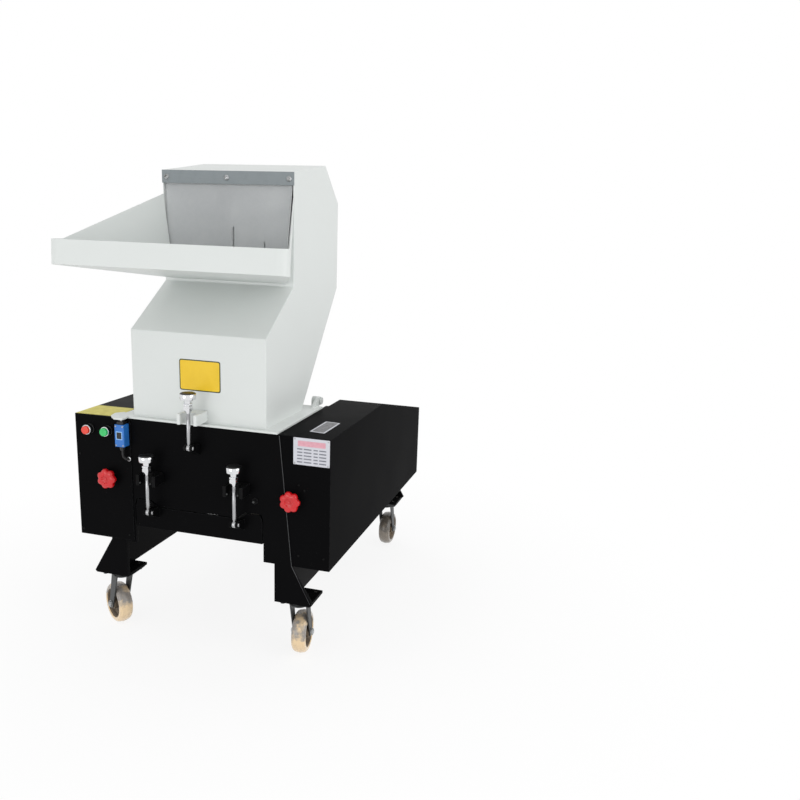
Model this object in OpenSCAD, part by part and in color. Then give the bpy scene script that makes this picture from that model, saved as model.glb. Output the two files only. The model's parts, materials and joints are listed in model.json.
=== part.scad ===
// Plastic granulator: a caster-mounted base with a screened cutting chamber,
// a belt drive on its right side, a control box on its left side and a
// hinged sheet-metal hopper with a flared feed tray.
// Machine axes: x to the right, y to the back from the front plate, z up from the floor.

/* [Base] */
// Depth of the frame, front plate to rear plate
frame_depth = 970; // [900:5:1040]
// Half width of the front plate at its top
top_half = 249; // [244:1:262]
// Half width of the front plate at its waist
waist_half = 286; // [276:1:296]
// Drop from the base top to the waist
waist_drop = 374; // [350:1:400]
// Half width of the flared feet
foot_half = 349; // [340:1:360]
// Half distance between the inner edges of the legs
leg_in_half = 235; // [225:1:245]
// Drop from the base top to the foot pads
foot_drop = 488; // [484:1:500]
// Thickness of the frame plates
plate_t = 10; // [6:1:14]
// Half width of the opening that the screen cradle closes
bay_half = 202; // [198:1:206]
// Drop from the base top to the lower edge of the front panel
panel_drop = 253; // [245:1:260]
// Drop from the base top to the lower edge of the cradle front
cradle_drop = 321; // [312:1:330]

/* [Chamber] */
// Half width inside the cutting chamber
chamber_half = 202; // [190:1:206]
// Thickness of the chamber cheeks
cheek_t = 18; // [14:1:19]
// Distance of the rotor axis behind the front plate face
rotor_y = 165; // [160:1:172]
// Drop from the base top to the rotor axis
rotor_drop = 160; // [150:1:170]
// Radius swept by the rotor knives
rotor_r = 100; // [90:1:104]
// Gap between rotor knives and bed knives
knife_gap = 0.5; // [0.3:0.1:1.5]
// Thickness of the perforated screen
screen_t = 4; // [3:0.5:6]
// Radius of the screen holes
screen_hole_r = 6; // [4:0.5:7]

/* [Hopper] */
// Half width of the hopper outside
hopper_half = 205; // [195:1:206]
// Sheet thickness of the hopper and the feed tray
sheet_t = 3; // [2:0.5:5]
// Setback of the hopper front from the front plate
hopper_front_y = 15; // [10:1:20]
// Depth of the hopper at its foot
throat_depth = 250; // [240:1:256]
// Height of the fold of the hopper front above the base
fold_h = 253; // [240:1:270]
// Setback of the mouth from the front plate
mouth_y = 200; // [190:1:210]
// Height of the neck under the tray above the base
neck_h = 379; // [365:1:390]
// Height of the front edge of the hopper roof above the base
roof_front_h = 693; // [680:1:720]
// Height of the rear edge of the hopper roof above the base
roof_rear_h = 728; // [715:1:760]
// Depth of the rear edge of the roof
roof_rear_y = 440; // [430:1:450]
// Depth of the back wall
back_y = 555; // [540:1:570]
// Height of the upper fold of the back wall above the base
back_top_h = 621; // [600:1:640]
// Height of the lower fold of the back wall above the base
back_low_h = 353; // [340:1:370]
// Half width of the tray at its front edge
tray_half = 332; // [315:1:345]
// Reach of the tray in front of the front plate
tray_reach = 150; // [130:1:170]
// Height of the tray's front wall
tray_wall = 63; // [50:1:80]
// Height of the tray floor at its front edge above the base
tray_front_h = 433; // [425:1:445]
// Height of the bar that holds the curtain
curtain_bar_h = 36; // [28:1:44]

/* [Drive] */
// Half width of the belt guard's outer face from the middle
guard_x = 397; // [390:1:410]
// Length of the flat top of the belt guard
guard_flat = 477; // [460:1:500]
// Drop of the guard's rear top edge
guard_rear_drop = 117; // [100:1:130]
// Drop of the guard's lower edge
guard_low_drop = 375; // [365:1:385]
// Radius of the flywheel pulley
flywheel_r = 145; // [130:1:150]
// Radius of the motor pulley
motor_pulley_r = 60; // [50:1:70]
// Distance of the motor axis behind the front plate face
motor_y = 790; // [760:1:820]
// Drop from the base top to the motor axis
motor_drop = 270; // [262:1:276]
// Radius of the motor frame
motor_r = 88; // [80:1:92]

/* [Control box] */
// Outer face of the control box from the middle
box_x = 387; // [375:1:400]
// Depth of the control box
box_depth = 420; // [380:5:460]
// Drop of the control box's lower edge
box_drop = 368; // [350:1:380]
// Inner edge of the control box's front cover from the middle
cover_in = 207; // [204:1:212]

/* [Controls] */
// Diameter of the push button collars
collar_d = 29; // [26:1:32]
// Travel of the push buttons
button_travel = 4; // [3:0.5:5]
// Diameter of the star knobs
star_d = 60; // [54:1:66]
// Number of lobes on a star knob
star_lobes = 7; // [5:1:8]
// Length of the limit switch body
switch_len = 64; // [56:1:70]
// Travel of the limit switch plunger
plunger_travel = 4; // [3:0.5:5]

/* [Clamps] */
// Distance of the clamp rods in front of the front plate
clamp_off = 38; // [36:1:42]
// Distance of the cradle clamps from the middle
clamp_x = 134; // [128:1:140]
// Diameter of the clamp knobs
knob_d = 40; // [36:1:42]
// Diameter of the clamp rods
rod_d = 11; // [9:1:12]
// Distance from a clamp's pivot to the top of its knob
clamp_len = 156; // [150:1:162]

/* [Casters] */
// Height of the casters, floor to foot pads
caster_h = 190; // [188:1:200]
// Diameter of the caster wheels
wheel_d = 125; // [110:1:130]
// Width of the caster wheels
wheel_w = 38; // [32:1:42]
// Offset of the wheel axle behind the swivel axis
caster_trail = 38; // [30:1:42]
// Distance of the casters from the middle
caster_x = 290; // [284:1:292]
// Distance of the casters from the front and rear faces of the frame
caster_in = 52; // [48:1:58]
// Swivel of the left front caster as it stands
swivel_front_left = 58; // [0:1:90]
// Swivel of the right front caster as it stands
swivel_front_right = 8; // [-30:1:90]

/* [Hidden] */
$fn = 64;

// Shared clearances
over = 1;
slip = 0.05;
gap = 0.3;
seam = 1;
swing_gap = 3;
seat = 0.1;
full_turn = 360;

// Places worked out from the driving sizes
top_z = caster_h + foot_drop;
waist_z = top_z - waist_drop;
foot_z = top_z - foot_drop;
panel_z = top_z - panel_drop;
cradle_z = top_z - cradle_drop;
rotor_z = top_z - rotor_drop;
motor_z = top_z - motor_drop;
origin_x = (guard_x - box_x) / 2;
origin_y = (frame_depth - caster_in + caster_trail + wheel_d / 2 - tray_reach) / 2;

// Returns the unit vector along v
function unit(v) = v / norm(v);

// Moves every corner of a counterclockwise outline inwards by d
function inset(p, d) = [for (i = [0 : len(p) - 1]) let(
    a = p[(i + len(p) - 1) % len(p)],
    b = p[i],
    c = p[(i + 1) % len(p)],
    u = unit(b - a),
    w = unit(c - b),
    nu = [-u[1], u[0]],
    nw = [-w[1], w[0]])
    b + (nu + nw) * d / (1 + nu * nw)];

// Mirrors an outline of x and z about x = 0, keeping the turning sense
function mirrored(p) = [for (i = [len(p) - 1 : -1 : 0]) [-p[i][0], p[i][1]]];

// Puts a piece in the frame whose origin is the middle of the floor area
module placed() {
    translate([-origin_x, -origin_y, 0]) children();
}

// Extrudes an outline of y and z along x
module slab_x(x0, x1) {
    translate([x0, 0, 0]) rotate([90, 0, 90]) linear_extrude(x1 - x0) children();
}

// Extrudes an outline of x and z along y
module slab_y(y0, y1) {
    translate([0, y1, 0]) rotate([90, 0, 0]) linear_extrude(y1 - y0) children();
}

// Extrudes an outline of x and y along z
module slab_z(z0, z1) {
    translate([0, 0, z0]) linear_extrude(z1 - z0) children();
}

// A round bar along x
module bar_x(x0, x1, y, z, r) {
    translate([x0, y, z]) rotate([0, 90, 0]) cylinder(h = x1 - x0, r = r);
}

// A round bar along y
module bar_y(y0, y1, x, z, r) {
    translate([x, y1, z]) rotate([90, 0, 0]) cylinder(h = y1 - y0, r = r);
}

// A round bar along z
module bar_z(z0, z1, x, y, r) {
    translate([x, y, z0]) cylinder(h = z1 - z0, r = r);
}

// Draws its children and their mirror image in x
module both_sides() {
    children();
    mirror([1, 0, 0]) children();
}

// Frame plates: an upright panel on two flared legs
notch_in = 122;
notch_top_in = 149;
notch_top_out = 196;
notch_rise = 18;
toe_chamfer = 6;

module front_plate() {
    half = [[leg_in_half, foot_z], [foot_half - toe_chamfer, foot_z],
        [foot_half, foot_z + toe_chamfer], [waist_half, waist_z], [top_half, top_z]];
    cut = [[notch_in, panel_z], [notch_top_in, panel_z + notch_rise],
        [notch_top_out, panel_z + notch_rise], [bay_half, panel_z], [bay_half, waist_z],
        [leg_in_half, waist_z]];
    color([0.07, 0.07, 0.08]) slab_y(0, plate_t)
        polygon(concat(half, mirrored(half), mirrored(cut), cut));
}

// Rear plate: lower panel, because the motor stands open behind the chamber
rear_panel_drop = 240;
rear_arch_drop = 330;

module rear_plate() {
    rear_z = top_z - rear_panel_drop;
    rear_half = top_half + (waist_half - top_half) * rear_panel_drop / waist_drop;
    half = [[leg_in_half, foot_z], [foot_half - toe_chamfer, foot_z],
        [foot_half, foot_z + toe_chamfer], [waist_half, waist_z], [rear_half, rear_z]];
    arch = [[leg_in_half, top_z - rear_arch_drop]];
    color([0.07, 0.07, 0.08])
        slab_y(frame_depth - plate_t, frame_depth)
            polygon(concat(half, mirrored(half), mirrored(arch), arch));
}

// Side sheets lean outwards down to the waist, then hang upright; foot pads carry the casters
pad_t = 8;
skirt_drop = foot_drop - pad_t;
pad_x = 110;
pad_y = 85;
shaft_hole_r = 40;
motor_hole_r = 22;
pad_out = foot_half - toe_chamfer + over;

// Half width of the leaning side sheets at a drop below the base top
function lean_x(drop) = top_half + (waist_half - top_half) * drop / waist_drop;

module side_sheet() {
    slab_y(plate_t, frame_depth - plate_t)
        polygon([[lean_x(seam) - plate_t, top_z - seam], [waist_half - plate_t, waist_z],
            [waist_half - plate_t, top_z - skirt_drop], [waist_half, top_z - skirt_drop],
            [waist_half, waist_z], [lean_x(seam), top_z - seam]]);
}

module foot_pad(y0) {
    translate([pad_out - pad_x, y0, foot_z]) cube([pad_x, pad_y, top_z - skirt_drop - foot_z]);
}

module side_plates() {
    rear_cut_z = top_z - rear_panel_drop;
    color([0.07, 0.07, 0.08]) {
        difference() {
            union() {
                side_sheet();
                foot_pad(plate_t);
                foot_pad(frame_depth - plate_t - pad_y);
            }
            bar_x(chamber_half, guard_x, rotor_y, rotor_z, shaft_hole_r);
            bar_x(chamber_half, guard_x, motor_y, motor_z, motor_hole_r);
            rear_cut();
            pad_bolt_holes();
        }
        difference() {
            mirror([1, 0, 0]) {
                side_sheet();
                foot_pad(plate_t);
                foot_pad(frame_depth - plate_t - pad_y);
            }
            mirror([1, 0, 0]) rear_cut();
            mirror([1, 0, 0]) pad_bolt_holes();
        }
    }
}

// The sheets slope down behind the chamber to the lower rear plate
sheet_slope_y = 380;
sheet_low_y = 560;

module rear_cut() {
    slab_x(0, guard_x) polygon([[sheet_slope_y, top_z + over], [sheet_slope_y, top_z - seam],
        [sheet_low_y, top_z - rear_panel_drop], [frame_depth, top_z - rear_panel_drop],
        [frame_depth, top_z + over]]);
}

// Caster bolts
bolt_dx = 38;
bolt_dy = 29;
pad_bolt_r = 4.5;

module pad_bolt_holes() {
    for (cy = [caster_in, frame_depth - caster_in], sx = [-1, 1], sy = [-1, 1])
        bar_z(foot_z - over, top_z - skirt_drop + over, caster_x + sx * bolt_dx,
            cy + sy * bolt_dy, pad_bolt_r);
}

// Cutting chamber cheeks
cheek_y1 = 368;
cheek_low_drop = 232;
pivot_y = 330;
pivot_drop = 178;
pivot_boss_r = 20;
pin_r = 9;
shaft_r = 30;
shaft_play = 2;
pivot_z = top_z - pivot_drop;

module chamber_cheeks() {
    outline = [[plate_t, top_z - seam], [plate_t, rotor_z - pivot_boss_r],
        [rotor_y - rotor_r, top_z - cheek_low_drop], [pivot_y, top_z - cheek_low_drop],
        [cheek_y1, pivot_z - pivot_boss_r], [cheek_y1, top_z - seam]];
    color([0.2, 0.2, 0.21]) both_sides() difference() {
        slab_x(chamber_half, chamber_half + cheek_t) polygon(outline);
        bar_x(chamber_half - over, chamber_half + cheek_t + over, rotor_y, rotor_z,
            shaft_r + shaft_play);
        bar_x(chamber_half - over, chamber_half + cheek_t + over, pivot_y, pivot_z, pin_r);
    }
}

// Knife beams: cast bars between the cheeks that carry the bed knives
knife_t = 12;
screen_gap = 4;
screen_r = rotor_r + screen_gap;
lip_y = 46;
lip_h = 30;
beam_seat = 8;
rear_beam_y = 304;
front_tip_y = rotor_y - rotor_r - knife_gap;
rear_tip_y = rotor_y + rotor_r + knife_gap;
front_pocket_y = plate_t + beam_seat;
rear_pocket_y = rear_beam_y - beam_seat;
throat_y = hopper_front_y + throat_depth;

module front_knife_beam() {
    color([0.25, 0.25, 0.26]) slab_x(-chamber_half, chamber_half)
        polygon([[plate_t, top_z - seam], [plate_t, rotor_z - lip_h],
            [lip_y, rotor_z - lip_h], [lip_y, rotor_z - knife_t],
            [front_pocket_y, rotor_z - knife_t], [front_pocket_y, rotor_z],
            [front_tip_y - beam_seat, rotor_z], [hopper_front_y + sheet_t, top_z - seam]]);
}

module rear_knife_beam() {
    color([0.25, 0.25, 0.26]) slab_x(-chamber_half, chamber_half)
        polygon([[rear_beam_y, top_z - seam], [throat_y - sheet_t, top_z - seam],
            [rear_tip_y + beam_seat, rotor_z], [rear_pocket_y, rotor_z],
            [rear_pocket_y, rotor_z - knife_t], [rear_tip_y + 2 * beam_seat, rotor_z - knife_t],
            [rear_tip_y + 2 * beam_seat, rotor_z - lip_h], [rear_beam_y, rotor_z - lip_h]]);
}

module bed_knives() {
    bevel = knife_t / 2;
    color([0.62, 0.63, 0.65]) slab_x(-chamber_half, chamber_half) {
        polygon([[front_pocket_y, rotor_z - knife_t], [front_tip_y - bevel, rotor_z - knife_t],
            [front_tip_y, rotor_z], [front_pocket_y, rotor_z]]);
        polygon([[rear_tip_y, rotor_z], [rear_tip_y + bevel, rotor_z - knife_t],
            [rear_pocket_y, rotor_z - knife_t], [rear_pocket_y, rotor_z]]);
    }
}

// Flanged bearing housings between the cheeks and the side sheets
housing_r = 62;
housing_flange_t = 10;
housing_hub_r = 44;
housing_t = 28;
housing_x0 = chamber_half + cheek_t;
bearing_r = 25;

module bearing_housings() {
    color([0.3, 0.3, 0.31]) both_sides() difference() {
        union() {
            bar_x(housing_x0, housing_x0 + housing_flange_t, rotor_y, rotor_z, housing_r);
            bar_x(housing_x0, housing_x0 + housing_t, rotor_y, rotor_z, housing_hub_r);
        }
        bar_x(housing_x0 - over, housing_x0 + housing_t + over, rotor_y, rotor_z,
            bearing_r + slip);
    }
}

module cradle_hinge_pin() {
    color([0.6, 0.6, 0.62]) bar_x(-chamber_half - cheek_t, chamber_half + cheek_t,
        pivot_y, pivot_z, pin_r - slip);
}

// Control box: a folded sheet box on the left side sheet with a cover over the front plate
box_t = 2;
cover_t = 3;
entry_z_drop = 300;
entry_x = 330;
entry_hole_r = 12;

stud_r = 4;
star_x_left = -275;
star_x_right = 289;
star_drop = 179;

module control_box() {
    section = [[lean_x(box_drop) + seat, top_z - box_drop], [box_x, top_z - box_drop], [box_x, top_z],
        [top_half + seat, top_z]];
    color([0.07, 0.07, 0.08]) difference() {
        mirror([1, 0, 0]) {
            difference() {
                slab_y(0, box_depth) polygon(section);
                slab_y(box_t, box_depth - box_t) polygon(inset(section, box_t));
                bar_y(box_depth - box_t - over, box_depth + over, entry_x,
                    top_z - entry_z_drop, entry_hole_r);
            }
            slab_y(-cover_t, 0)
                polygon([[cover_in, top_z - box_drop], [box_x, top_z - box_drop],
                    [box_x, top_z], [cover_in, top_z]]);
        }
        bar_y(-cover_t - over, box_t + over, star_x_left, top_z - star_drop, stud_r + slip);
    }
}

// Belt guard: a long sheet shell on the right side sheet
guard_t = 2;
guard_y0 = 3;

function guard_side() = [[guard_y0, top_z - guard_low_drop],
    [frame_depth, top_z - guard_low_drop], [frame_depth, top_z - guard_rear_drop],
    [guard_flat, top_z], [guard_y0, top_z]];

// Half width of the flared front plate at a drop below its waist
function flare_x(drop) = waist_half
    + (foot_half - waist_half) * (drop - waist_drop) / (foot_drop - waist_drop);

// Everything between the middle and the frame's right side, moved outwards by d
module sheet_side(d) {
    low = max(guard_low_drop, waist_drop) + over;
    slab_y(-over, frame_depth + over)
        polygon([[0, top_z - low], [flare_x(low) + d, top_z - low], [waist_half + d, waist_z],
            [top_half + d, top_z], [top_half + d, top_z + over], [0, top_z + over]]);
}

module belt_guard() {
    color([0.07, 0.07, 0.08]) difference() {
        slab_x(top_half, guard_x) polygon(guard_side());
        difference() {
            slab_x(top_half, guard_x - guard_t) polygon(inset(guard_side(), guard_t));
            sheet_side(guard_t + seat);
        }
        sheet_side(seat);
        bar_x(top_half, pulley_x0, rotor_y, rotor_z, shaft_hole_r);
        bar_x(top_half, pulley_x0, motor_y, motor_z, motor_hole_r);
        bar_y(0, guard_y0 + guard_t + over, star_x_right, top_z - star_drop, stud_r + slip);
    }
}

// Motor: finned barrel with end shields, feet, fan cowl and terminal box
motor_x0 = -160;
motor_x1 = 130;
fin_count = 28;
fin_t = 3;
fin_h = 8;
shield_t = 16;
cowl_t = 44;
motor_shaft_r = 14;
motor_bore_depth = 40;
foot_w = 34;
foot_spread = 84;
foot_step = 4;
terminal_w = 90;
terminal_h = 26;
rail_h = 12;
rail_z = waist_z;

module motor() {
    foot_low = rail_z + rail_h;
    color([0.16, 0.3, 0.42]) difference() {
        union() {
            slab_x(motor_x0 + cowl_t, motor_x1 - shield_t) translate([motor_y, motor_z]) {
                circle(r = motor_r - fin_h);
                for (i = [0 : fin_count - 1]) rotate(i * full_turn / fin_count)
                    translate([0, -fin_t / 2]) square([motor_r, fin_t]);
            }
            bar_x(motor_x1 - shield_t, motor_x1, motor_y, motor_z, motor_r - fin_t);
            bar_x(motor_x0, motor_x0 + cowl_t, motor_y, motor_z, motor_r);
            for (x0 = [motor_x0 + cowl_t + foot_step, motor_x1 - shield_t - foot_w - foot_step])
                translate([x0, motor_y - foot_spread, foot_low])
                    cube([foot_w, 2 * foot_spread, motor_z - foot_low - motor_r / 2]);
            translate([-terminal_w / 2, motor_y - terminal_w / 2, motor_z + motor_r / 2])
                cube([terminal_w, terminal_w, motor_r / 2 + terminal_h]);
        }
        bar_x(motor_x1 - motor_bore_depth - over, motor_x1 + over, motor_y, motor_z,
            motor_shaft_r + slip);
    }
}

base_y = 110;
base_t = 8;
rail_w = 24;

module motor_base() {
    half = waist_half - plate_t;
    color([0.07, 0.07, 0.08]) {
        translate([-half, motor_y - base_y, rail_z - base_t]) cube([2 * half, 2 * base_y, base_t]);
        for (y0 = [motor_y - foot_spread, motor_y + foot_spread - rail_w])
            translate([-half + rail_w, y0, rail_z]) cube([2 * half - 2 * rail_w, rail_w, rail_h]);
    }
}

// Belt drive: grooved pulleys and the belts that run in their grooves
pulley_x0 = 296;
pulley_w = 60;
belt_count = 3;
belt_w = 12;
belt_h = 8;
groove_w = 13;
groove_depth = 10;
web_t = 14;
rim_t = 24;
hub_r = 46;
belt_pitch = pulley_w / belt_count;

// Outline of a pulley rim's half section, radius first, with one notch per belt
function pulley_rim(r) = concat(
    [[r, 0]],
    [for (i = [0 : belt_count - 1], c = [0 : 3]) let(m = (i + 0.5) * belt_pitch)
        c == 0 ? [r, m - groove_w / 2] : c == 1 ? [r - groove_depth, m - groove_w / 2]
        : c == 2 ? [r - groove_depth, m + groove_w / 2] : [r, m + groove_w / 2]],
    [[r, pulley_w]]);

module revolve_x(x0, y, z) {
    translate([x0, y, z]) rotate([0, 90, 0]) rotate_extrude() children();
}

module flywheel() {
    mid = pulley_w / 2;
    color([0.35, 0.36, 0.37]) revolve_x(pulley_x0, rotor_y, rotor_z)
        polygon(concat([[bearing_r, 0], [hub_r, 0], [hub_r, mid - web_t / 2],
            [flywheel_r - rim_t, mid - web_t / 2], [flywheel_r - rim_t, 0]],
            pulley_rim(flywheel_r),
            [[flywheel_r - rim_t, pulley_w], [flywheel_r - rim_t, mid + web_t / 2],
            [hub_r, mid + web_t / 2], [hub_r, pulley_w], [bearing_r, pulley_w]]));
}

module motor_pulley() {
    color([0.35, 0.36, 0.37]) {
        revolve_x(pulley_x0, motor_y, motor_z)
            polygon(concat([[motor_shaft_r - seam, 0]], pulley_rim(motor_pulley_r),
                [[motor_shaft_r - seam, pulley_w]]));
        bar_x(motor_x1 - motor_bore_depth, pulley_x0 + pulley_w, motor_y, motor_z, motor_shaft_r);
    }
}

// Outline of a belt that wraps both pulleys at the given height in their grooves
belt_steps = 24;

function belt_outline(h) = let(
    r1 = flywheel_r - groove_depth + h,
    r2 = motor_pulley_r - groove_depth + h,
    run = [motor_y - rotor_y, motor_z - rotor_z],
    a = atan2(run[1], run[0]),
    b = acos((r1 - r2) / norm(run)))
    concat(
        [for (i = [0 : belt_steps]) let(t = a - b + 2 * b * i / belt_steps)
            [rotor_y, rotor_z] + run + r2 * [cos(t), sin(t)]],
        [for (i = [0 : 2 * belt_steps]) let(t = a + b + (full_turn - 2 * b) * i / (2 * belt_steps))
            [rotor_y, rotor_z] + r1 * [cos(t), sin(t)]]);

module drive_belts() {
    color([0.05, 0.05, 0.05]) for (i = [0 : belt_count - 1]) {
        x0 = pulley_x0 + (i + 0.5) * belt_pitch - belt_w / 2;
        slab_x(x0, x0 + belt_w) difference() {
            polygon(belt_outline(belt_h + gap));
            polygon(belt_outline(gap));
        }
    }
}

// Rotor: a shaft, a segmented body with three arms and staggered knives
shaft_end = 372;
shaft_shoulder = 206;
segments = 5;
segment_w = 76;
segment_gap = 3;
stagger = 9;
core_r = 48;
arm_low_r = 44;
arm_top_r = 86;
arm_back_r = 74;
arm_w = 30;
knife_low_r = 56;
knife_heel = 6;
rotor_rest = 38;
segment_x0 = -(segments * segment_w + (segments - 1) * segment_gap) / 2;

module rotor_shaft() {
    color([0.55, 0.56, 0.58]) {
        bar_x(-shaft_shoulder, shaft_shoulder, rotor_y, rotor_z, shaft_r);
        bar_x(-housing_x0 - housing_t, -shaft_shoulder, rotor_y, rotor_z, bearing_r);
        bar_x(shaft_shoulder, shaft_end, rotor_y, rotor_z, bearing_r);
    }
}

// Places an outline of radius and offset on each of a segment's three arms
module on_arms(i) {
    x0 = segment_x0 + i * (segment_w + segment_gap);
    slab_x(x0, x0 + segment_w) translate([rotor_y, rotor_z])
        for (k = [0 : 2]) rotate(rotor_rest + k * 120 + (i % 2) * stagger) children();
}

module rotor_body() {
    color([0.28, 0.29, 0.3]) difference() {
        union() {
            bar_x(segment_x0, -segment_x0, rotor_y, rotor_z, core_r);
            for (i = [0 : segments - 1]) on_arms(i)
                polygon([[0, -knife_t], [arm_low_r, -knife_t], [arm_top_r, -knife_t],
                    [arm_back_r, -knife_t - arm_w], [0, -knife_t - arm_w]]);
        }
        bar_x(segment_x0 - over, -segment_x0 + over, rotor_y, rotor_z, shaft_r);
    }
}

module rotor_knives() {
    color([0.68, 0.69, 0.71]) for (i = [0 : segments - 1]) on_arms(i)
        polygon([[knife_low_r, -knife_t], [rotor_r - knife_heel, -knife_t], [rotor_r, 0],
            [knife_low_r, 0]]);
}

// Screen and the cradle that holds it below the rotor
screen_top_drop = 14;
screen_half = 196;
hole_step_x = 34;
hole_step_a = 18;
hole_rows = 8;
hole_cols = 11;
rib_t = 12;
rib_in = 182;
rib_mid = 58;
rib_mid_t = 8;
cradle_front_t = 8;
rib_front_y = 12;
rib_top_drop = 195;
rib_rear_y = 308;
rib_low_y = 240;
rib_foot_drop = 255;
rib_back_y = 352;
rib_boss_r = 18;
tie_r = 9;
tie_y = 300;
tie_drop = 238;
cradle_pivot_drop = 257;
lug_gap = 0.5;
lug_t = 6;
lug_r = 10;
lug_low = 28;
lug_high = 3;
clamp_pin_r = 5;
eye_half = rod_d / 2;

module screen() {
    color([0.5, 0.51, 0.53]) difference() {
        bar_x(-screen_half, screen_half, rotor_y, rotor_z, screen_r + screen_t);
        bar_x(-screen_half - over, screen_half + over, rotor_y, rotor_z, screen_r);
        translate([-screen_half - over, rotor_y - screen_r - screen_t - over,
            rotor_z - screen_top_drop])
            cube([2 * (screen_half + over), 2 * (screen_r + screen_t + over),
                screen_r + screen_t + screen_top_drop + over]);
        for (c = [0 : hole_cols - 1], k = [0 : hole_rows - 1])
            translate([(c - (hole_cols - 1) / 2) * hole_step_x, rotor_y, rotor_z])
                rotate([(k - (hole_rows - 1) / 2) * hole_step_a, 0, 0])
                    translate([0, 0, -screen_r - screen_t - over])
                        cylinder(h = screen_t + 2 * over, r = screen_hole_r, $fn = 24);
    }
}

module cradle_rib(x0, t) {
    difference() {
        slab_x(x0, x0 + t) difference() {
            union() {
                polygon([[cradle_front_t, cradle_z], [rib_low_y, cradle_z],
                    [pivot_y - rib_boss_r, top_z - rib_foot_drop], [rib_back_y, pivot_z - rib_boss_r],
                    [pivot_y + rib_boss_r, pivot_z], [pivot_y - rib_boss_r, pivot_z],
                    [rib_rear_y, top_z - rib_top_drop], [rib_front_y, top_z - rib_top_drop],
                    [rib_front_y, panel_z - swing_gap], [cradle_front_t, panel_z - swing_gap]]);
                translate([pivot_y, pivot_z]) circle(r = rib_boss_r);
            }
            translate([rotor_y, rotor_z]) circle(r = screen_r + screen_t);
        }
        bar_x(x0 - over, x0 + t + over, pivot_y, pivot_z, pin_r);
    }
}

// A pair of ears with a pin at the foot of a clamp, from the plane y = 0 forwards
module clamp_ears(cx, pz, low, high) {
    for (s = [-1, 1]) translate([cx + s * (eye_half + lug_gap + lug_t / 2), 0, 0])
        slab_x(-lug_t / 2, lug_t / 2) {
            polygon([[0, pz + high], [-clamp_off, pz + lug_r], [-clamp_off, pz - lug_r],
                [0, pz - low]]);
            translate([-clamp_off, pz]) circle(r = lug_r);
        }
    bar_x(cx - eye_half - lug_gap - lug_t, cx + eye_half + lug_gap + lug_t, -clamp_off, pz,
        clamp_pin_r);
}

module screen_cradle() {
    half = [[bay_half - swing_gap, cradle_z], [bay_half - swing_gap, panel_z - swing_gap],
        [notch_top_out - swing_gap, panel_z + notch_rise - swing_gap],
        [notch_top_in + swing_gap, panel_z + notch_rise - swing_gap],
        [notch_in + swing_gap, panel_z - swing_gap]];
    color([0.09, 0.09, 0.1]) {
        slab_y(0, cradle_front_t) polygon(concat(half, mirrored(half)));
        both_sides() {
            cradle_rib(rib_in, rib_t);
            cradle_rib(rib_mid, rib_mid_t);
        }
        bar_x(-rib_in - rib_t, rib_in + rib_t, tie_y, top_z - tie_drop, tie_r);
        both_sides() clamp_ears(clamp_x, top_z - cradle_pivot_drop, lug_low, lug_high);
    }
}

// Hopper shell: folded sheet, open at its foot and at its mouth
flange_gap = 0.5;
flange_t = 6;
tray_rear_h = 386;
tray_mouth_half = 180;
lean_drop = 99;
lean_h = roof_front_h - lean_drop;
shell_z = top_z + flange_gap + flange_t;

// The curtain hangs by its hem on two pins inside the hopper's side walls
curtain_pin_r = 2;
curtain_pin_len = 14;
curtain_hem_r = 4;
curtain_axis_drop = 29;
curtain_axis_h = roof_front_h - curtain_axis_drop;
curtain_axis_z = top_z + curtain_axis_h;
curtain_y = mouth_y + sheet_t + gap + curtain_hem_r;

function hopper_outline() = [[hopper_front_y, shell_z], [throat_y, shell_z],
    [back_y, top_z + back_low_h], [back_y, top_z + back_top_h], [roof_rear_y, top_z + roof_rear_h],
    [mouth_y, top_z + roof_front_h], [mouth_y, top_z + neck_h], [hopper_front_y, top_z + fold_h]];

module hopper_shell() {
    wide = hopper_half - sheet_t;
    floor_z = top_z + tray_rear_h + sheet_t;
    bar_z0 = top_z + roof_front_h - curtain_bar_h;
    color([0.85, 0.86, 0.86]) both_sides()
        bar_x(wide - curtain_pin_len, wide, curtain_y, curtain_axis_z, curtain_pin_r);
    color([0.85, 0.86, 0.86]) difference() {
        slab_x(-hopper_half, hopper_half) polygon(hopper_outline());
        slab_x(-wide, wide) polygon(inset(hopper_outline(), sheet_t));
        slab_x(-wide, wide) polygon([[hopper_front_y + sheet_t, shell_z - over],
            [throat_y - sheet_t, shell_z - over], [throat_y - sheet_t, shell_z + 2 * sheet_t],
            [hopper_front_y + sheet_t, shell_z + 2 * sheet_t]]);
        slab_y(mouth_y - over, mouth_y + sheet_t + over)
            polygon([[-tray_mouth_half + sheet_t, floor_z], [tray_mouth_half - sheet_t, floor_z],
                [wide, top_z + lean_h], [wide, bar_z0], [-wide, bar_z0],
                [-wide, top_z + lean_h]]);
    }
}

// Feed tray: a sloping floor inside one folded wall with rounded front corners
tray_corner_r = 30;
tray_steps = 6;
knee_y = -95;
wing_drop = 67;
wing_h = roof_front_h - wing_drop;
front_lean = 9;
corner_y = tray_corner_r - tray_reach;

// Height of the tray floor at the depth y
function floor_at(y) = top_z + tray_front_h
    + (tray_rear_h - tray_front_h) * (y + tray_reach) / (mouth_y + tray_reach);

// Share of the way from the mouth to the tray's corner at the depth y
function reach_share(y) = (mouth_y - y) / (mouth_y - corner_y);

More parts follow.
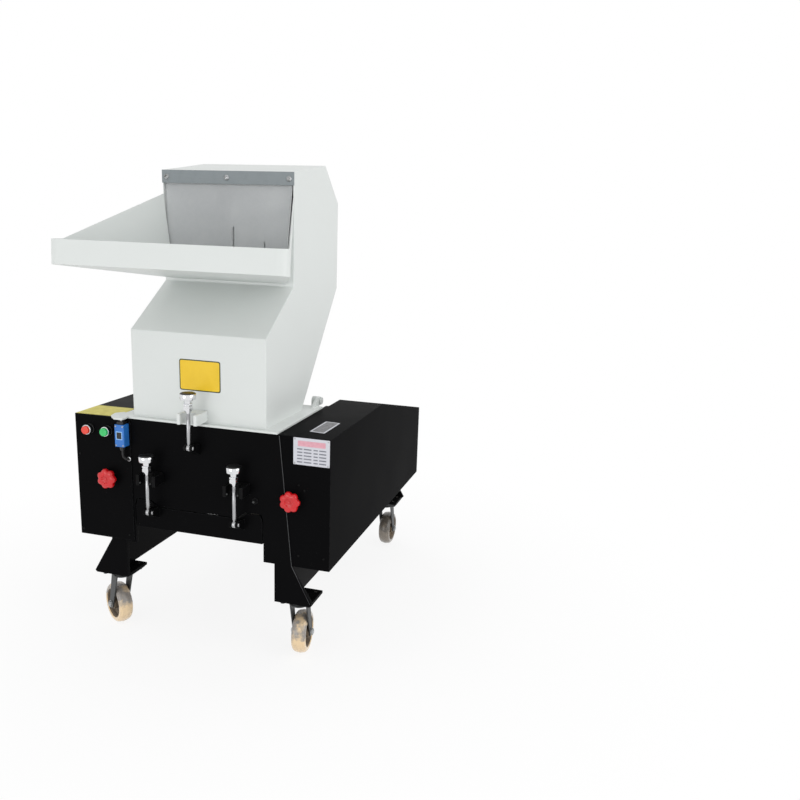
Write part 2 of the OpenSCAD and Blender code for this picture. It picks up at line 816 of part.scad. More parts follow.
// Stations of the left half: foot x, top x, depth, top depth, top height
function tray_left() = concat(
    [[-tray_mouth_half, -hopper_half, mouth_y, mouth_y, top_z + wing_h],
     [-tray_mouth_half - (tray_half - tray_mouth_half) * reach_share(knee_y),
      -hopper_half - (tray_half - hopper_half) * reach_share(knee_y), knee_y, knee_y,
      top_z + tray_front_h + tray_wall]],
    [for (i = [0 : tray_steps]) let(
        a = 180 + 90 * i / tray_steps,
        x = -tray_half + tray_corner_r + tray_corner_r * cos(a),
        y = corner_y + tray_corner_r * sin(a))
        [x, x, y, y + front_lean * i / tray_steps, top_z + tray_front_h + tray_wall]]);

function tray_stations() = let(l = tray_left(), n = len(l))
    concat(l, [for (i = [n - 1 : -1 : 0]) [-l[i][0], -l[i][1], l[i][2], l[i][3], l[i][4]]]);

// Inward direction in plan at station i
function tray_in(s, i) = let(
    a = s[max(i - 1, 0)],
    b = s[min(i + 1, len(s) - 1)],
    u = unit([b[0] - a[0], b[2] - a[2]]))
    [-u[1], u[0]];

module feed_tray() {
    s = tray_stations();
    n = len(s);
    m = n / 2;
    outer_low = [for (p = s) [p[0], p[2], floor_at(p[2])]];
    outer_top = [for (p = s) [p[1], p[3], p[4]]];
    inner_low = [for (i = [0 : n - 1]) let(d = tray_in(s, i) * sheet_t,
        y = i == 0 || i == n - 1 ? s[i][2] : s[i][2] + d[1])
        [s[i][0] + d[0], y, floor_at(y) + sheet_t]];
    inner_top = [for (i = [0 : n - 1]) let(d = tray_in(s, i) * sheet_t)
        [s[i][1] + d[0], i == 0 || i == n - 1 ? s[i][3] : s[i][3] + d[1], s[i][4]]];
    faces = concat(
        [for (i = [0 : n - 2]) each [[i, n + i, i + 1], [i + 1, n + i, n + i + 1]]],
        [for (i = [0 : n - 2]) each [[n + i, 3 * n + i, n + i + 1],
            [n + i + 1, 3 * n + i, 3 * n + i + 1]]],
        [for (i = [0 : n - 2]) each [[3 * n + i, 2 * n + i, 3 * n + i + 1],
            [3 * n + i + 1, 2 * n + i, 2 * n + i + 1]]],
        [for (i = [0 : m - 2]) each [[2 * n + i, 3 * n - 1 - i, 3 * n - 2 - i],
            [2 * n + i, 3 * n - 2 - i, 2 * n + i + 1]]],
        [for (i = [0 : m - 2]) each [[i, i + 1, n - 2 - i], [i, n - 2 - i, n - 1 - i]]],
        [[0, 2 * n, 3 * n], [0, 3 * n, n]],
        [[n - 1, 2 * n - 1, 4 * n - 1], [n - 1, 4 * n - 1, 3 * n - 1]],
        [[0, n - 1, 3 * n - 1], [0, 3 * n - 1, 2 * n]]);
    color([0.87, 0.88, 0.88])
        polyhedron(points = concat(outer_low, outer_top, inner_low, inner_top), faces = faces);
}

// Flange under the hopper with its hinge lugs and the horns that straddle the clamp
flange_half = 245;
flange_front_y = -2;
flange_rear_y = 335;
hinge_y = 352;
hinge_rise = 20;
hinge_pin_r = 7;
hinge_boss_r = 13;
lug_x0 = 221.5;
lug_x1 = 231;
lug_root_y = 290;
hinge_z = top_z + hinge_rise;
flange_z0 = top_z + flange_gap;
hopper_pivot_drop = 54;
horn_w = 9;
horn_play = 0.6;
horn_reach = 10;
hopper_horn_low = 12;
horn_h = 30;

// Two horns and the web behind them, with a recess that clears the clamp's knob
module clamp_horns(cx, z0, back) {
    recess_r = knob_d / 2 + horn_play;
    slab_z(z0, z0 + horn_h) translate([cx, 0]) difference() {
        translate([-recess_r - horn_w, -clamp_off - horn_reach])
            square([2 * (recess_r + horn_w), clamp_off + horn_reach + back]);
        translate([0, -clamp_off]) circle(r = recess_r);
        translate([-recess_r, -clamp_off - horn_reach - over])
            square([2 * recess_r, horn_reach + over]);
    }
}

module hopper_flange() {
    color([0.85, 0.86, 0.86]) {
        difference() {
            translate([-flange_half, flange_front_y, flange_z0])
                cube([2 * flange_half, flange_rear_y - flange_front_y, flange_t]);
            translate([-hopper_half + sheet_t, hopper_front_y + sheet_t, flange_z0 - over])
                cube([2 * (hopper_half - sheet_t), throat_depth - 2 * sheet_t,
                    flange_t + 2 * over]);
        }
        both_sides() difference() {
            slab_x(lug_x0, lug_x1) union() {
                polygon([[lug_root_y, shell_z], [flange_rear_y, shell_z],
                    [hinge_y, hinge_z - hinge_boss_r], [hinge_y, hinge_z + hinge_boss_r],
                    [flange_rear_y, hinge_z + hinge_boss_r]]);
                translate([hinge_y, hinge_z]) circle(r = hinge_boss_r);
            }
            bar_x(lug_x0 - over, lug_x1 + over, hinge_y, hinge_z, hinge_pin_r + slip);
        }
        clamp_horns(0, top_z + hopper_horn_low, hopper_front_y);
    }
}

// Hinge brackets on the chamber cheeks, each with its pin
bracket_x0 = 206;
bracket_y0 = 339;
bracket_y1 = 366;
pin_end_x = 236;
pin_head_x = 232;
pin_head_r = 11;

module hinge_brackets() {
    color([0.12, 0.12, 0.13]) both_sides() {
        slab_x(bracket_x0, chamber_half + cheek_t) union() {
            polygon([[bracket_y0, top_z - seam], [bracket_y1, top_z - seam],
                [bracket_y1, hinge_z], [bracket_y0, hinge_z]]);
            translate([hinge_y, hinge_z]) circle(r = hinge_boss_r);
        }
        bar_x(chamber_half + cheek_t, pin_head_x, hinge_y, hinge_z, hinge_pin_r);
        bar_x(pin_head_x, pin_end_x, hinge_y, hinge_z, pin_head_r);
    }
}

module clamp_lug() {
    color([0.09, 0.09, 0.1]) clamp_ears(0, top_z - hopper_pivot_drop, lug_low, lug_high);
}

// Horns on the front plate that straddle the cradle's clamps
saddle_drop = 177;

module clamp_saddles() {
    color([0.09, 0.09, 0.1]) both_sides() clamp_horns(clamp_x, top_z - saddle_drop, 0);
}

// Curtain bar with its screws, and the clear curtain that hangs behind it
bar_screw_x = 190;
bar_screw_drop = 19;
bar_screw_r = 8;
bar_screw_h = 4;
curtain_t = 3;
curtain_side = 2;
curtain_low_h = 398;
slit_pitch = 97;
slit_w = 2;
slit_top_h = 539;
slit_shift = 15;

module curtain_bar() {
    color([0.5, 0.54, 0.55])
        translate([-hopper_half, mouth_y - sheet_t, top_z + roof_front_h - curtain_bar_h])
            cube([2 * hopper_half, sheet_t, curtain_bar_h]);
}

module curtain_bar_screws() {
    color([0.75, 0.76, 0.77]) for (x = [-bar_screw_x, 0, bar_screw_x])
        bar_y(mouth_y - sheet_t - bar_screw_h, mouth_y - sheet_t, x,
            top_z + roof_front_h - bar_screw_drop, bar_screw_r);
}

module curtain() {
    half = hopper_half - sheet_t - curtain_side;
    y0 = curtain_y - curtain_t / 2;
    color([0.6, 0.65, 0.66, 0.5]) difference() {
        union() {
            translate([-half, y0, top_z + curtain_low_h])
                cube([2 * half, curtain_t, curtain_axis_h - curtain_low_h]);
            bar_x(-half, half, curtain_y, curtain_axis_z, curtain_hem_r);
        }
        both_sides() bar_x(half - curtain_pin_len, half + over, curtain_y, curtain_axis_z,
            curtain_pin_r + slip);
        for (i = [-1 : 1])
            translate([slit_shift + i * slit_pitch - slit_w / 2, y0 - over,
                top_z + curtain_low_h - over])
                cube([slit_w, curtain_t + 2 * over, slit_top_h - curtain_low_h + over]);
    }
}

// Tongue of the flange that holds the limit switch down
tongue_back_y = 50;
tongue_out = 272;
tongue_mid = 262;
tongue_tip_x = 236;
tongue_tip_y = -30;
tongue_in = 211;

module switch_tongue() {
    color([0.85, 0.86, 0.86]) slab_z(flange_z0, flange_z0 + flange_t)
        polygon([[-flange_half, tongue_back_y], [-tongue_out, tongue_back_y + tongue_tip_y],
            [-tongue_mid, tongue_tip_y / 4], [-tongue_tip_x, tongue_tip_y],
            [-tongue_in, tongue_tip_y], [-tongue_in, flange_front_y],
            [-flange_half, flange_front_y]]);
}

// Rubber rest buffers on the slanted back of the hopper
buffer_x = 180;
buffer_r = 17;
buffer_t = 14;
buffer_rise = 64;
back_rise = back_low_h - flange_gap - flange_t;

module rest_buffers() {
    slope = atan2(back_rise, back_y - throat_y);
    color([0.06, 0.06, 0.06]) both_sides()
        translate([buffer_x, throat_y + buffer_rise / tan(slope), shell_z + buffer_rise])
            rotate([full_turn / 2 + slope, 0, 0]) translate([0, 0, seat])
                cylinder(h = buffer_t, r = buffer_r);
}

// Clamp rods and knobs; the knob is drawn down from its top
rim_h = 24;
cone_h = 15;
clamp_collar_h = 20;
clamp_collar_r = 11;
knob_neck_r = 8;
knob_crown = 3;
eye_r = 9;
rod_end = 14;
cradle_clamp_len = 169;

module clamp_rod(cx, pz, len) {
    difference() {
        union() {
            bar_x(cx - eye_half, cx + eye_half, -clamp_off, pz, eye_r);
            bar_z(pz + eye_r / 2, pz + len - rod_end, cx, -clamp_off, rod_d / 2);
        }
        bar_x(cx - rod_d, cx + rod_d, -clamp_off, pz, clamp_pin_r + slip);
    }
}

module clamp_knob(cx, pz, len) {
    cap = knob_d / 2;
    bore = rod_d / 2 + slip;
    low = -rim_h - cone_h - clamp_collar_h;
    translate([cx, -clamp_off, pz + len]) rotate_extrude()
        polygon([[bore, low], [clamp_collar_r, low], [clamp_collar_r, -rim_h - cone_h],
            [knob_neck_r, -rim_h - cone_h + knob_crown], [cap - knob_crown, -rim_h],
            [cap, -rim_h + knob_crown], [cap, -knob_crown], [cap - knob_crown, 0], [0, 0],
            [0, -rod_end], [bore, -rod_end]]);
}

module hopper_clamp_rod() {
    color([0.7, 0.71, 0.72]) clamp_rod(0, top_z - hopper_pivot_drop, clamp_len);
}

module hopper_clamp_knob() {
    color([0.8, 0.81, 0.82]) clamp_knob(0, top_z - hopper_pivot_drop, clamp_len);
}

module cradle_clamp_rod(side) {
    color([0.7, 0.71, 0.72])
        clamp_rod(side * clamp_x, top_z - cradle_pivot_drop, cradle_clamp_len);
}

module cradle_clamp_knob(side) {
    color([0.8, 0.81, 0.82])
        clamp_knob(side * clamp_x, top_z - cradle_pivot_drop, cradle_clamp_len);
}

// Star knobs that hold the side covers
star_t = 17;
star_hub_r = 11;
star_hub_t = 14;
star_core_share = 0.8;
star_lobe_share = 0.3;
star_dish_r = 12;
star_dish = 3;
stud_len = 12;

module star_knob(cx, seat_y) {
    r = star_d / 2;
    hub_y = seat_y - gap;
    color([0.75, 0.08, 0.1]) difference() {
        union() {
            slab_y(hub_y - star_hub_t - star_t, hub_y - star_hub_t)
                translate([cx, top_z - star_drop]) {
                    circle(r = r * star_core_share);
                    for (i = [0 : star_lobes - 1]) rotate(full_turn / 4 + i * full_turn / star_lobes)
                        translate([r * (1 - star_lobe_share), 0])
                            circle(r = r * star_lobe_share);
                }
            bar_y(hub_y - star_hub_t, hub_y, cx, top_z - star_drop, star_hub_r);
            bar_y(hub_y, hub_y + stud_len, cx, top_z - star_drop, stud_r);
        }
        bar_y(hub_y - star_hub_t - star_t - over, hub_y - star_hub_t - star_t + star_dish, cx,
            top_z - star_drop, star_dish_r);
    }
}

// Push buttons in their collars
stop_x = -338;
start_x = -278;
button_drop = 41;
collar_len = 20;
cap_r = 11.5;
cap_proud = 6;
cap_in = 12;

module button_collars() {
    color([0.2, 0.2, 0.21]) for (x = [stop_x, start_x]) difference() {
        bar_y(-cover_t - collar_len, -cover_t, x, top_z - button_drop, collar_d / 2);
        bar_y(-cover_t - collar_len - over, -cover_t - slip, x, top_z - button_drop, cap_r + slip);
    }
}

module push_cap(x) {
    bar_y(-cover_t - collar_len - cap_proud, -cover_t - collar_len + cap_in, x,
        top_z - button_drop, cap_r);
}

module stop_button() {
    color([0.8, 0.1, 0.08]) push_cap(stop_x);
}

module start_button() {
    color([0.1, 0.65, 0.25]) push_cap(start_x);
}

// Limit switch, its plunger and its lead
switch_x0 = -240;
switch_w = 30;
switch_d = 26;
switch_top_drop = 14;
head_h = 9;
head_inset = 4;
plunger_r = 4;
plunger_back = 12;
gland_r = 8;
gland_h = 13;
plunger_x = switch_x0 + switch_w / 2;
plunger_y = -cover_t - plunger_back;
switch_top_z = top_z - switch_top_drop;
switch_low_z = switch_top_z - switch_len;

module limit_switch() {
    color([0.12, 0.42, 0.85]) difference() {
        union() {
            translate([switch_x0, -cover_t - switch_d, switch_low_z])
                cube([switch_w, switch_d, switch_len]);
            translate([switch_x0 + head_inset, -cover_t - switch_d + head_inset, switch_top_z])
                cube([switch_w - 2 * head_inset, switch_d - head_inset, head_h]);
            bar_z(switch_low_z - gland_h, switch_low_z, plunger_x, plunger_y, gland_r);
        }
        bar_z(switch_top_z - switch_w, switch_top_z + head_h + over, plunger_x, plunger_y,
            plunger_r + slip);
    }
}

module switch_plunger() {
    color([0.7, 0.71, 0.72]) bar_z(switch_top_z - switch_w + plunger_travel,
        flange_z0 - gap, plunger_x, plunger_y, plunger_r);
}

// The lead drops from the gland and turns into the cover
lead_r = 3.5;
lead_sides = 8;
lead_run = 12;
lead_bend_r = 16;
lead_steps = 6;
grommet_r = 7;
grommet_t = 3;
lead_shift = 12;

// Route of the lead: straight down, then a bend to the back and to the right
function lead_route() = concat(
    [[plunger_x, plunger_y, switch_low_z - gland_h],
     [plunger_x, plunger_y, switch_low_z - gland_h - lead_run / 2]],
    [for (i = [1 : lead_steps]) let(t = i / lead_steps, a = 90 * t)
        [plunger_x + lead_shift * t * t * (3 - 2 * t),
         plunger_y + (plunger_back - grommet_t) * (1 - cos(a)),
         switch_low_z - gland_h - lead_run - lead_bend_r * sin(a)]]);

// Tube of n sides and radius r through the points of p, whose runs are never along x
module tube(p, r, n) {
    last = len(p) - 1;
    dirs = [for (i = [0 : last]) i == last ? [0, 1, 0] : unit(p[min(i + 1, last)] - p[max(i - 1, 0)])];
    rings = [for (i = [0 : last]) let(
        a = unit(cross(dirs[i], [1, 0, 0])),
        b = cross(dirs[i], a))
        for (k = [0 : n - 1]) p[i] + r * (a * cos(k * full_turn / n) + b * sin(k * full_turn / n))];
    faces = concat(
        [[for (k = [0 : n - 1]) k]],
        [[for (k = [n - 1 : -1 : 0]) last * n + k]],
        [for (i = [0 : last - 1], k = [0 : n - 1]) let(j = (k + 1) % n)
            each [[i * n + k, (i + 1) * n + k, i * n + j],
                [i * n + j, (i + 1) * n + k, (i + 1) * n + j]]]);
    polyhedron(points = rings, faces = faces);
}

module switch_lead() {
    end = lead_route()[len(lead_route()) - 1];
    color([0.05, 0.05, 0.05]) {
        tube(lead_route(), lead_r, lead_sides);
        bar_y(-cover_t - grommet_t, -cover_t, end[0], end[2], grommet_r);
    }
}

// Cable gland in the back of the control box
gland_reach = 26;
gland_hex_r = 17;
gland_hex_t = 8;
gland_in = 12;
cable_r = 6.5;

module cable_gland() {
    color([0.08, 0.08, 0.08]) difference() {
        union() {
            bar_y(box_depth - gland_in, box_depth + gland_reach, -entry_x, top_z - entry_z_drop,
                entry_hole_r - slip);
            translate([-entry_x, box_depth + gland_hex_t, top_z - entry_z_drop])
                rotate([90, 0, 0]) cylinder(h = gland_hex_t, r = gland_hex_r, $fn = 6);
        }
        bar_y(box_depth - gland_in - over, box_depth + gland_reach + over, -entry_x,
            top_z - entry_z_drop, cable_r);
    }
}

// Casters: a fixed top plate, a swivelling fork with its axle, and a wheel
plate_th = 6;
caster_plate_x = 100;
caster_plate_y = 80;
race_r = 27;
race_h = 9;
crown_r = 30;
crown_t = 6;
leg_t = 4;
leg_gap = 3;
leg_top_w = 24;
axle_r = 6;
axle_boss_r = 13;
nut_r = 10;
nut_t = 8;
bolt_head_r = 8;
bolt_head_h = 5;
wheel_r = wheel_d / 2;
fork_z = foot_z - plate_th - race_h - gap;

module caster_plates() {
    color([0.1, 0.1, 0.11]) for (sx = [-1, 1], cy = [caster_in, frame_depth - caster_in]) {
        difference() {
            translate([sx * caster_x - caster_plate_x / 2, cy - caster_plate_y / 2,
                foot_z - plate_th]) cube([caster_plate_x, caster_plate_y, plate_th]);
            for (bx = [-1, 1], by = [-1, 1])
                bar_z(foot_z - plate_th - over, foot_z + over, sx * caster_x + bx * bolt_dx,
                    cy + by * bolt_dy, pad_bolt_r);
        }
        bar_z(foot_z - plate_th - race_h, foot_z - plate_th, sx * caster_x, cy, race_r);
        for (bx = [-1, 1], by = [-1, 1]) {
            bar_z(foot_z - plate_th, top_z - skirt_drop, sx * caster_x + bx * bolt_dx,
                cy + by * bolt_dy, pad_bolt_r);
            bar_z(foot_z - plate_th - bolt_head_h, foot_z - plate_th,
                sx * caster_x + bx * bolt_dx, cy + by * bolt_dy, bolt_head_r);
        }
    }
}

// Moves its children to a swivelled caster
module at_caster(cx, cy, a) {
    translate([cx, cy, 0]) rotate([0, 0, a]) children();
}

module caster_fork(cx, cy, a) {
    leg_x = wheel_w / 2 + leg_gap;
    color([0.12, 0.12, 0.13]) at_caster(cx, cy, a) {
        bar_z(fork_z - crown_t, fork_z, 0, 0, crown_r);
        for (s = [-1, 1]) translate([s * (leg_x + leg_t / 2), 0, 0])
            slab_x(-leg_t / 2, leg_t / 2) union() {
                polygon([[-leg_top_w / 2, fork_z], [-leg_top_w / 2, fork_z - crown_t],
                    [caster_trail - axle_boss_r, wheel_r], [caster_trail + axle_boss_r, wheel_r],
                    [leg_top_w, fork_z - crown_t], [leg_top_w / 2, fork_z]]);
                translate([caster_trail, wheel_r]) circle(r = axle_boss_r);
            }
        bar_x(-leg_x - leg_t - nut_t, leg_x + leg_t + nut_t, caster_trail, wheel_r, axle_r);
        for (x0 = [-leg_x - leg_t - nut_t, leg_x + leg_t])
            translate([x0, caster_trail, wheel_r]) rotate([0, 90, 0])
                cylinder(h = nut_t, r = nut_r, $fn = 6);
    }
}

// Wheel section: hub, web, rim and a tread with rounded shoulders
hub_out_r = 17;
wheel_web_r = 38;
tread_r0 = 46;
shoulder_r = 11;
shoulder_steps = 5;
web_half = 4;
rim_half = 14;
hub_half = wheel_w / 2 + leg_gap - gap;

function wheel_half() = concat(
    [[axle_r + slip, hub_half], [axle_r + slip, -hub_half], [hub_out_r, -hub_half],
     [hub_out_r, -web_half], [wheel_web_r, -web_half], [wheel_web_r, -rim_half],
     [tread_r0, -rim_half], [tread_r0, -wheel_w / 2]],
    [for (i = [0 : shoulder_steps]) let(a = -90 + 90 * i / shoulder_steps)
        [wheel_r - shoulder_r + shoulder_r * cos(a),
         -wheel_w / 2 + shoulder_r + shoulder_r * sin(a)]],
    [for (i = [0 : shoulder_steps]) let(a = 90 * i / shoulder_steps)
        [wheel_r - shoulder_r + shoulder_r * cos(a),
         wheel_w / 2 - shoulder_r + shoulder_r * sin(a)]],
    [[tread_r0, wheel_w / 2], [tread_r0, rim_half], [wheel_web_r, rim_half],
     [wheel_web_r, web_half], [hub_out_r, web_half], [hub_out_r, hub_half]]);

module caster_wheel(cx, cy, a) {
    color([0.85, 0.72, 0.5]) at_caster(cx, cy, a)
        translate([0, caster_trail, wheel_r]) rotate([0, 90, 0]) rotate_extrude()
            polygon(wheel_half());
}

rear_y = frame_depth - caster_in;

placed() front_plate();
placed() rear_plate();
placed() side_plates();
placed() chamber_cheeks();
placed() front_knife_beam();
placed() rear_knife_beam();
placed() bed_knives();
placed() bearing_housings();
placed() cradle_hinge_pin();
placed() control_box();
placed() belt_guard();
placed() motor();
placed() motor_base();
placed() hinge_brackets();
placed() clamp_lug();
placed() clamp_saddles();
placed() limit_switch();
placed() switch_lead();
placed() button_collars();
placed() cable_gland();
placed() drive_belts();
placed() caster_plates();
placed() hopper_shell();
placed() feed_tray();
placed() hopper_flange();
placed() curtain_bar();
placed() curtain_bar_screws();
placed() switch_tongue();
placed() rest_buffers();
placed() curtain();
placed() hopper_clamp_rod();
placed() hopper_clamp_knob();
placed() screen_cradle();
placed() screen();
placed() cradle_clamp_rod(-1);  // cradle_clamp_rod_left
placed() cradle_clamp_rod(1);  // cradle_clamp_rod_right
placed() cradle_clamp_knob(-1);  // cradle_clamp_knob_left
placed() cradle_clamp_knob(1);  // cradle_clamp_knob_right
placed() star_knob(star_x_left, -cover_t);  // star_knob_left
placed() star_knob(star_x_right, guard_y0);  // star_knob_right
placed() stop_button();
placed() start_button();
placed() switch_plunger();
placed() rotor_shaft();
placed() rotor_body();
placed() rotor_knives();
placed() flywheel();
placed() motor_pulley();
placed() caster_fork(-caster_x, caster_in, swivel_front_left);  // caster_fork_front_left
placed() caster_fork(caster_x, caster_in, swivel_front_right);  // caster_fork_front_right
placed() caster_fork(-caster_x, rear_y, 0);  // caster_fork_rear_left
placed() caster_fork(caster_x, rear_y, 0);  // caster_fork_rear_right
placed() caster_wheel(-caster_x, caster_in, swivel_front_left);  // caster_wheel_front_left
placed() caster_wheel(caster_x, caster_in, swivel_front_right);  // caster_wheel_front_right
placed() caster_wheel(-caster_x, rear_y, 0);  // caster_wheel_rear_left
placed() caster_wheel(caster_x, rear_y, 0);  // caster_wheel_rear_right
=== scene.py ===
# %% [markdown]
# # Plastic granulator
#
# A black sheet-steel base on four casters holds the cutting chamber, its belt
# drive and its controls. A light grey hopper with a wide feed tray tips back
# on a hinge. The solid model gives every place and every joint. This script
# dresses it: rounded sheet edges, worn paint, chrome, rubber and plastic.

import json
import math

import bmesh
import bpy
import numpy as np
from mathutils import Matrix, Vector


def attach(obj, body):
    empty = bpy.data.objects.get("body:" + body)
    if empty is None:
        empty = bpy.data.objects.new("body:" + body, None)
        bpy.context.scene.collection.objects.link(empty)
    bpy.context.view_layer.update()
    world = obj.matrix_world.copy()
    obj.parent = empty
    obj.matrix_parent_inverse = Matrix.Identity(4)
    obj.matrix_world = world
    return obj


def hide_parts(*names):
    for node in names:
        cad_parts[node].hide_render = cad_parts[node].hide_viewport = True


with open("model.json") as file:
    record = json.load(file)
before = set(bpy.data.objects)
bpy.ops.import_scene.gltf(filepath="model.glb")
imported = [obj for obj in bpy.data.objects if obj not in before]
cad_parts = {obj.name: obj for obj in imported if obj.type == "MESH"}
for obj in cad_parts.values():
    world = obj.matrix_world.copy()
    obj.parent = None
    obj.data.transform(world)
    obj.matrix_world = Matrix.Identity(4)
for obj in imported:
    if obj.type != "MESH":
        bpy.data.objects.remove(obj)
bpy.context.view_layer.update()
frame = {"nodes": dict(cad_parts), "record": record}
nodes = frame["nodes"]

# %% [markdown]
# ## Places
#
# The machine is drawn in millimetres from the middle of its front plate, with
# heights counted from the top of the base. Blender works in metres from the
# middle of the floor, so one small function turns the first into the second.
# Doing it in one place keeps all later numbers readable against the drawing.

# %% From drawing millimetres to the frame's metres
MM = 0.001
BASE_TOP = 678.0
SHIFT_X = 5.0
SHIFT_Y = 434.25


def spot(x, y, z):
    """Point in metres: each drawing coordinate less its shift, divided by 1000."""
    x, y, z = np.broadcast_arrays(x, y, z)
    return np.stack([x - SHIFT_X, y - SHIFT_Y, z + BASE_TOP], axis=-1) * MM


print("the front plate's upper middle is at", spot(0, 0, 0))

# %% [markdown]
# ## Surfaces from grids
#
# Most parts of a machine are either turned on a lathe, folded from sheet or
# cut from plate. A turned part is a profile carried round an axis, a plate is
# an outline carried along a line. Both are a grid of points, so the faces come
# from the grid's size alone, as whole arrays.

# %% Grids and turned parts
AXES = {"x": (1, 2, 0), "y": (2, 0, 1), "z": (0, 1, 2)}


def grid_faces(rows, columns, round_rows=False, round_columns=False):
    """Quads of a grid whose point (i, j) has the number i times columns plus j."""
    i, j = np.meshgrid(
        np.arange(rows if round_rows else rows - 1),
        np.arange(columns if round_columns else columns - 1),
        indexing="ij",
    )
    below = (i + 1) % rows
    beside = (j + 1) % columns
    corners = [i * columns + j, below * columns + j, below * columns + beside, i * columns + beside]
    return np.stack(corners, axis=-1).reshape(-1, 4).tolist()


def placed(u, v, w, axis):
    """Points whose third measure runs along the named axis, and the first two across it."""
    across, up, along = AXES[axis]
    out = np.zeros(np.shape(u) + (3,))
    out[..., across] = u
    out[..., up] = v
    out[..., along] = w
    return out


def turned(profile, centre, axis="z", sides=48, lobes=None):
    """Lathe surface: (r cos a, r sin a, h) for each profile pair (r, h) and angle a."""
    r, h = np.array(profile, float).T
    a = np.linspace(0, 2 * np.pi, sides, endpoint=False)
    scale = np.ones_like(a) if lobes is None else lobes(a)
    ring_r = r[:, None] * scale[None, :]
    pts = placed(ring_r * np.cos(a), ring_r * np.sin(a), h[:, None] + 0 * a, axis)
    return pts.reshape(-1, 3) * MM + spot(*centre), grid_faces(len(r), sides, round_columns=True)


print("a turned cone of 48 sides has", len(turned([(2, 0), (1, 3)], (0, 0, 0))[1]), "faces")

# %% Plates, blocks, tubes and round corners
def plate(outline, low, high, axis="y", centre=(0, 0, 0)):
    """Outline (u, v) carried from low to high along the axis, closed by two flat faces."""
    uv = np.array(outline, float)
    n = len(uv)
    pts = [placed(uv[:, 0], uv[:, 1], np.full(n, w), axis) for w in (low, high)]
    faces = grid_faces(2, n, round_columns=True) + [list(range(n))[::-1], list(range(n, 2 * n))]
    return np.concatenate(pts) * MM + spot(*centre), faces


def block(low, high):
    """Box between two corners, as a plate carried upwards."""
    (x0, y0, z0), (x1, y1, z1) = low, high
    return plate([(x0, y0), (x1, y0), (x1, y1), (x0, y1)], z0, z1, "z")


def swept(path, radius, sides=12):
    """Tube: a circle in the plane across the path's direction at every path point."""
    p = np.array(path, float)
    ahead = np.gradient(p, axis=0)
    ahead /= np.linalg.norm(ahead, axis=1, keepdims=True)
    side = np.cross(ahead, np.array([0.3, 0.2, 0.93]))
    side /= np.linalg.norm(side, axis=1, keepdims=True)
    other = np.cross(ahead, side)
    a = np.linspace(0, 2 * np.pi, sides, endpoint=False)
    ring = side[:, None] * np.cos(a)[None, :, None] + other[:, None] * np.sin(a)[None, :, None]
    pts = (p[:, None] + radius * ring).reshape(-1, 3)
    last = (len(p) - 1) * sides
    ends = [list(range(sides)), list(range(last + sides - 1, last - 1, -1))]
    faces = grid_faces(len(p), sides, round_columns=True) + ends
    return pts * MM + spot(0, 0, 0), faces


def rounded(outline, radius, steps=5):
    """Corners become curves (1 - t)^2 start + 2 t (1 - t) corner + t^2 end, touching both edges."""
    p = np.array(outline, float)
    back = np.roll(p, 1, axis=0) - p
    front = np.roll(p, -1, axis=0) - p
    back /= np.linalg.norm(back, axis=1, keepdims=True)
    front /= np.linalg.norm(front, axis=1, keepdims=True)
    half = np.arccos(np.clip((back * front).sum(1), -1, 1)) / 2
    reach = radius / np.tan(half)
    t = np.linspace(0, 1, steps)[None, :, None]
    start = p + back * reach[:, None]
    end = p + front * reach[:, None]
    curve = (1 - t) ** 2 * start[:, None] + 2 * t * (1 - t) * p[:, None] + t**2 * end[:, None]
    return curve.reshape(-1, 2)


print("a rounded square has", len(rounded([(0, 0), (9, 0), (9, 9), (0, 9)], 2)), "points")

# %% [markdown]
# ## Pieces
#
# A piece joins several such surfaces in one mesh. Its doubles are merged and
# its normals turned outwards before any modifier works on it. A bevel then
# breaks the sharp edges, because every real edge catches a thin line of light.

# %% Clean meshes and round edges
SMOOTH_ANGLE = math.radians(38)
FLAT_ANGLE = math.radians(0.4)
BEVEL_ANGLE = math.radians(25)
MERGE = 0.02 * MM


def finish_mesh(mesh, clean=True):
    """Merges doubles, turns the normals outwards and shades the mesh smooth by angle."""
    work = bmesh.new()
    work.from_mesh(mesh)
    bmesh.ops.remove_doubles(work, verts=work.verts, dist=MERGE)
    bmesh.ops.dissolve_degenerate(work, edges=work.edges, dist=MERGE)
    if clean:
        bmesh.ops.dissolve_limit(work, angle_limit=FLAT_ANGLE, verts=work.verts, edges=work.edges)
    bmesh.ops.recalc_face_normals(work, faces=work.faces)
    work.to_mesh(mesh)
    work.free()
    mesh.shade_smooth()
    mesh.set_sharp_from_angle(angle=SMOOTH_ANGLE)


def add_edge(thing, name, width, segments, angle):
    """Bevel on the edges that turn by more than the angle; the width is in millimetres."""
    bevel = thing.modifiers.new(name, "BEVEL")
    bevel.width = width * MM
    bevel.segments = segments
    bevel.limit_method = "ANGLE"
    bevel.angle_limit = angle


def add_bevel(thing, width, segments):
    """Rounded edges with shading that follows the large faces."""
    add_edge(thing, "rounded_edges", width, segments, BEVEL_ANGLE)
    even = thing.modifiers.new("even_normals", "WEIGHTED_NORMAL")
    even.keep_sharp = False


print("edges under", round(math.degrees(SMOOTH_ANGLE)), "degrees are shaded smooth")

# %% Making a piece, and softening a copy of a solid
def mounted(mesh, material, body, replaces=()):
    """Object of a mesh and its name, riding on a body in place of the given solids."""
    thing = bpy.data.objects.new(mesh.name, mesh)
    bpy.context.collection.objects.link(thing)
    mesh.materials.append(material)
    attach(thing, body)
    if replaces:
        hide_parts(*replaces)
    return thing


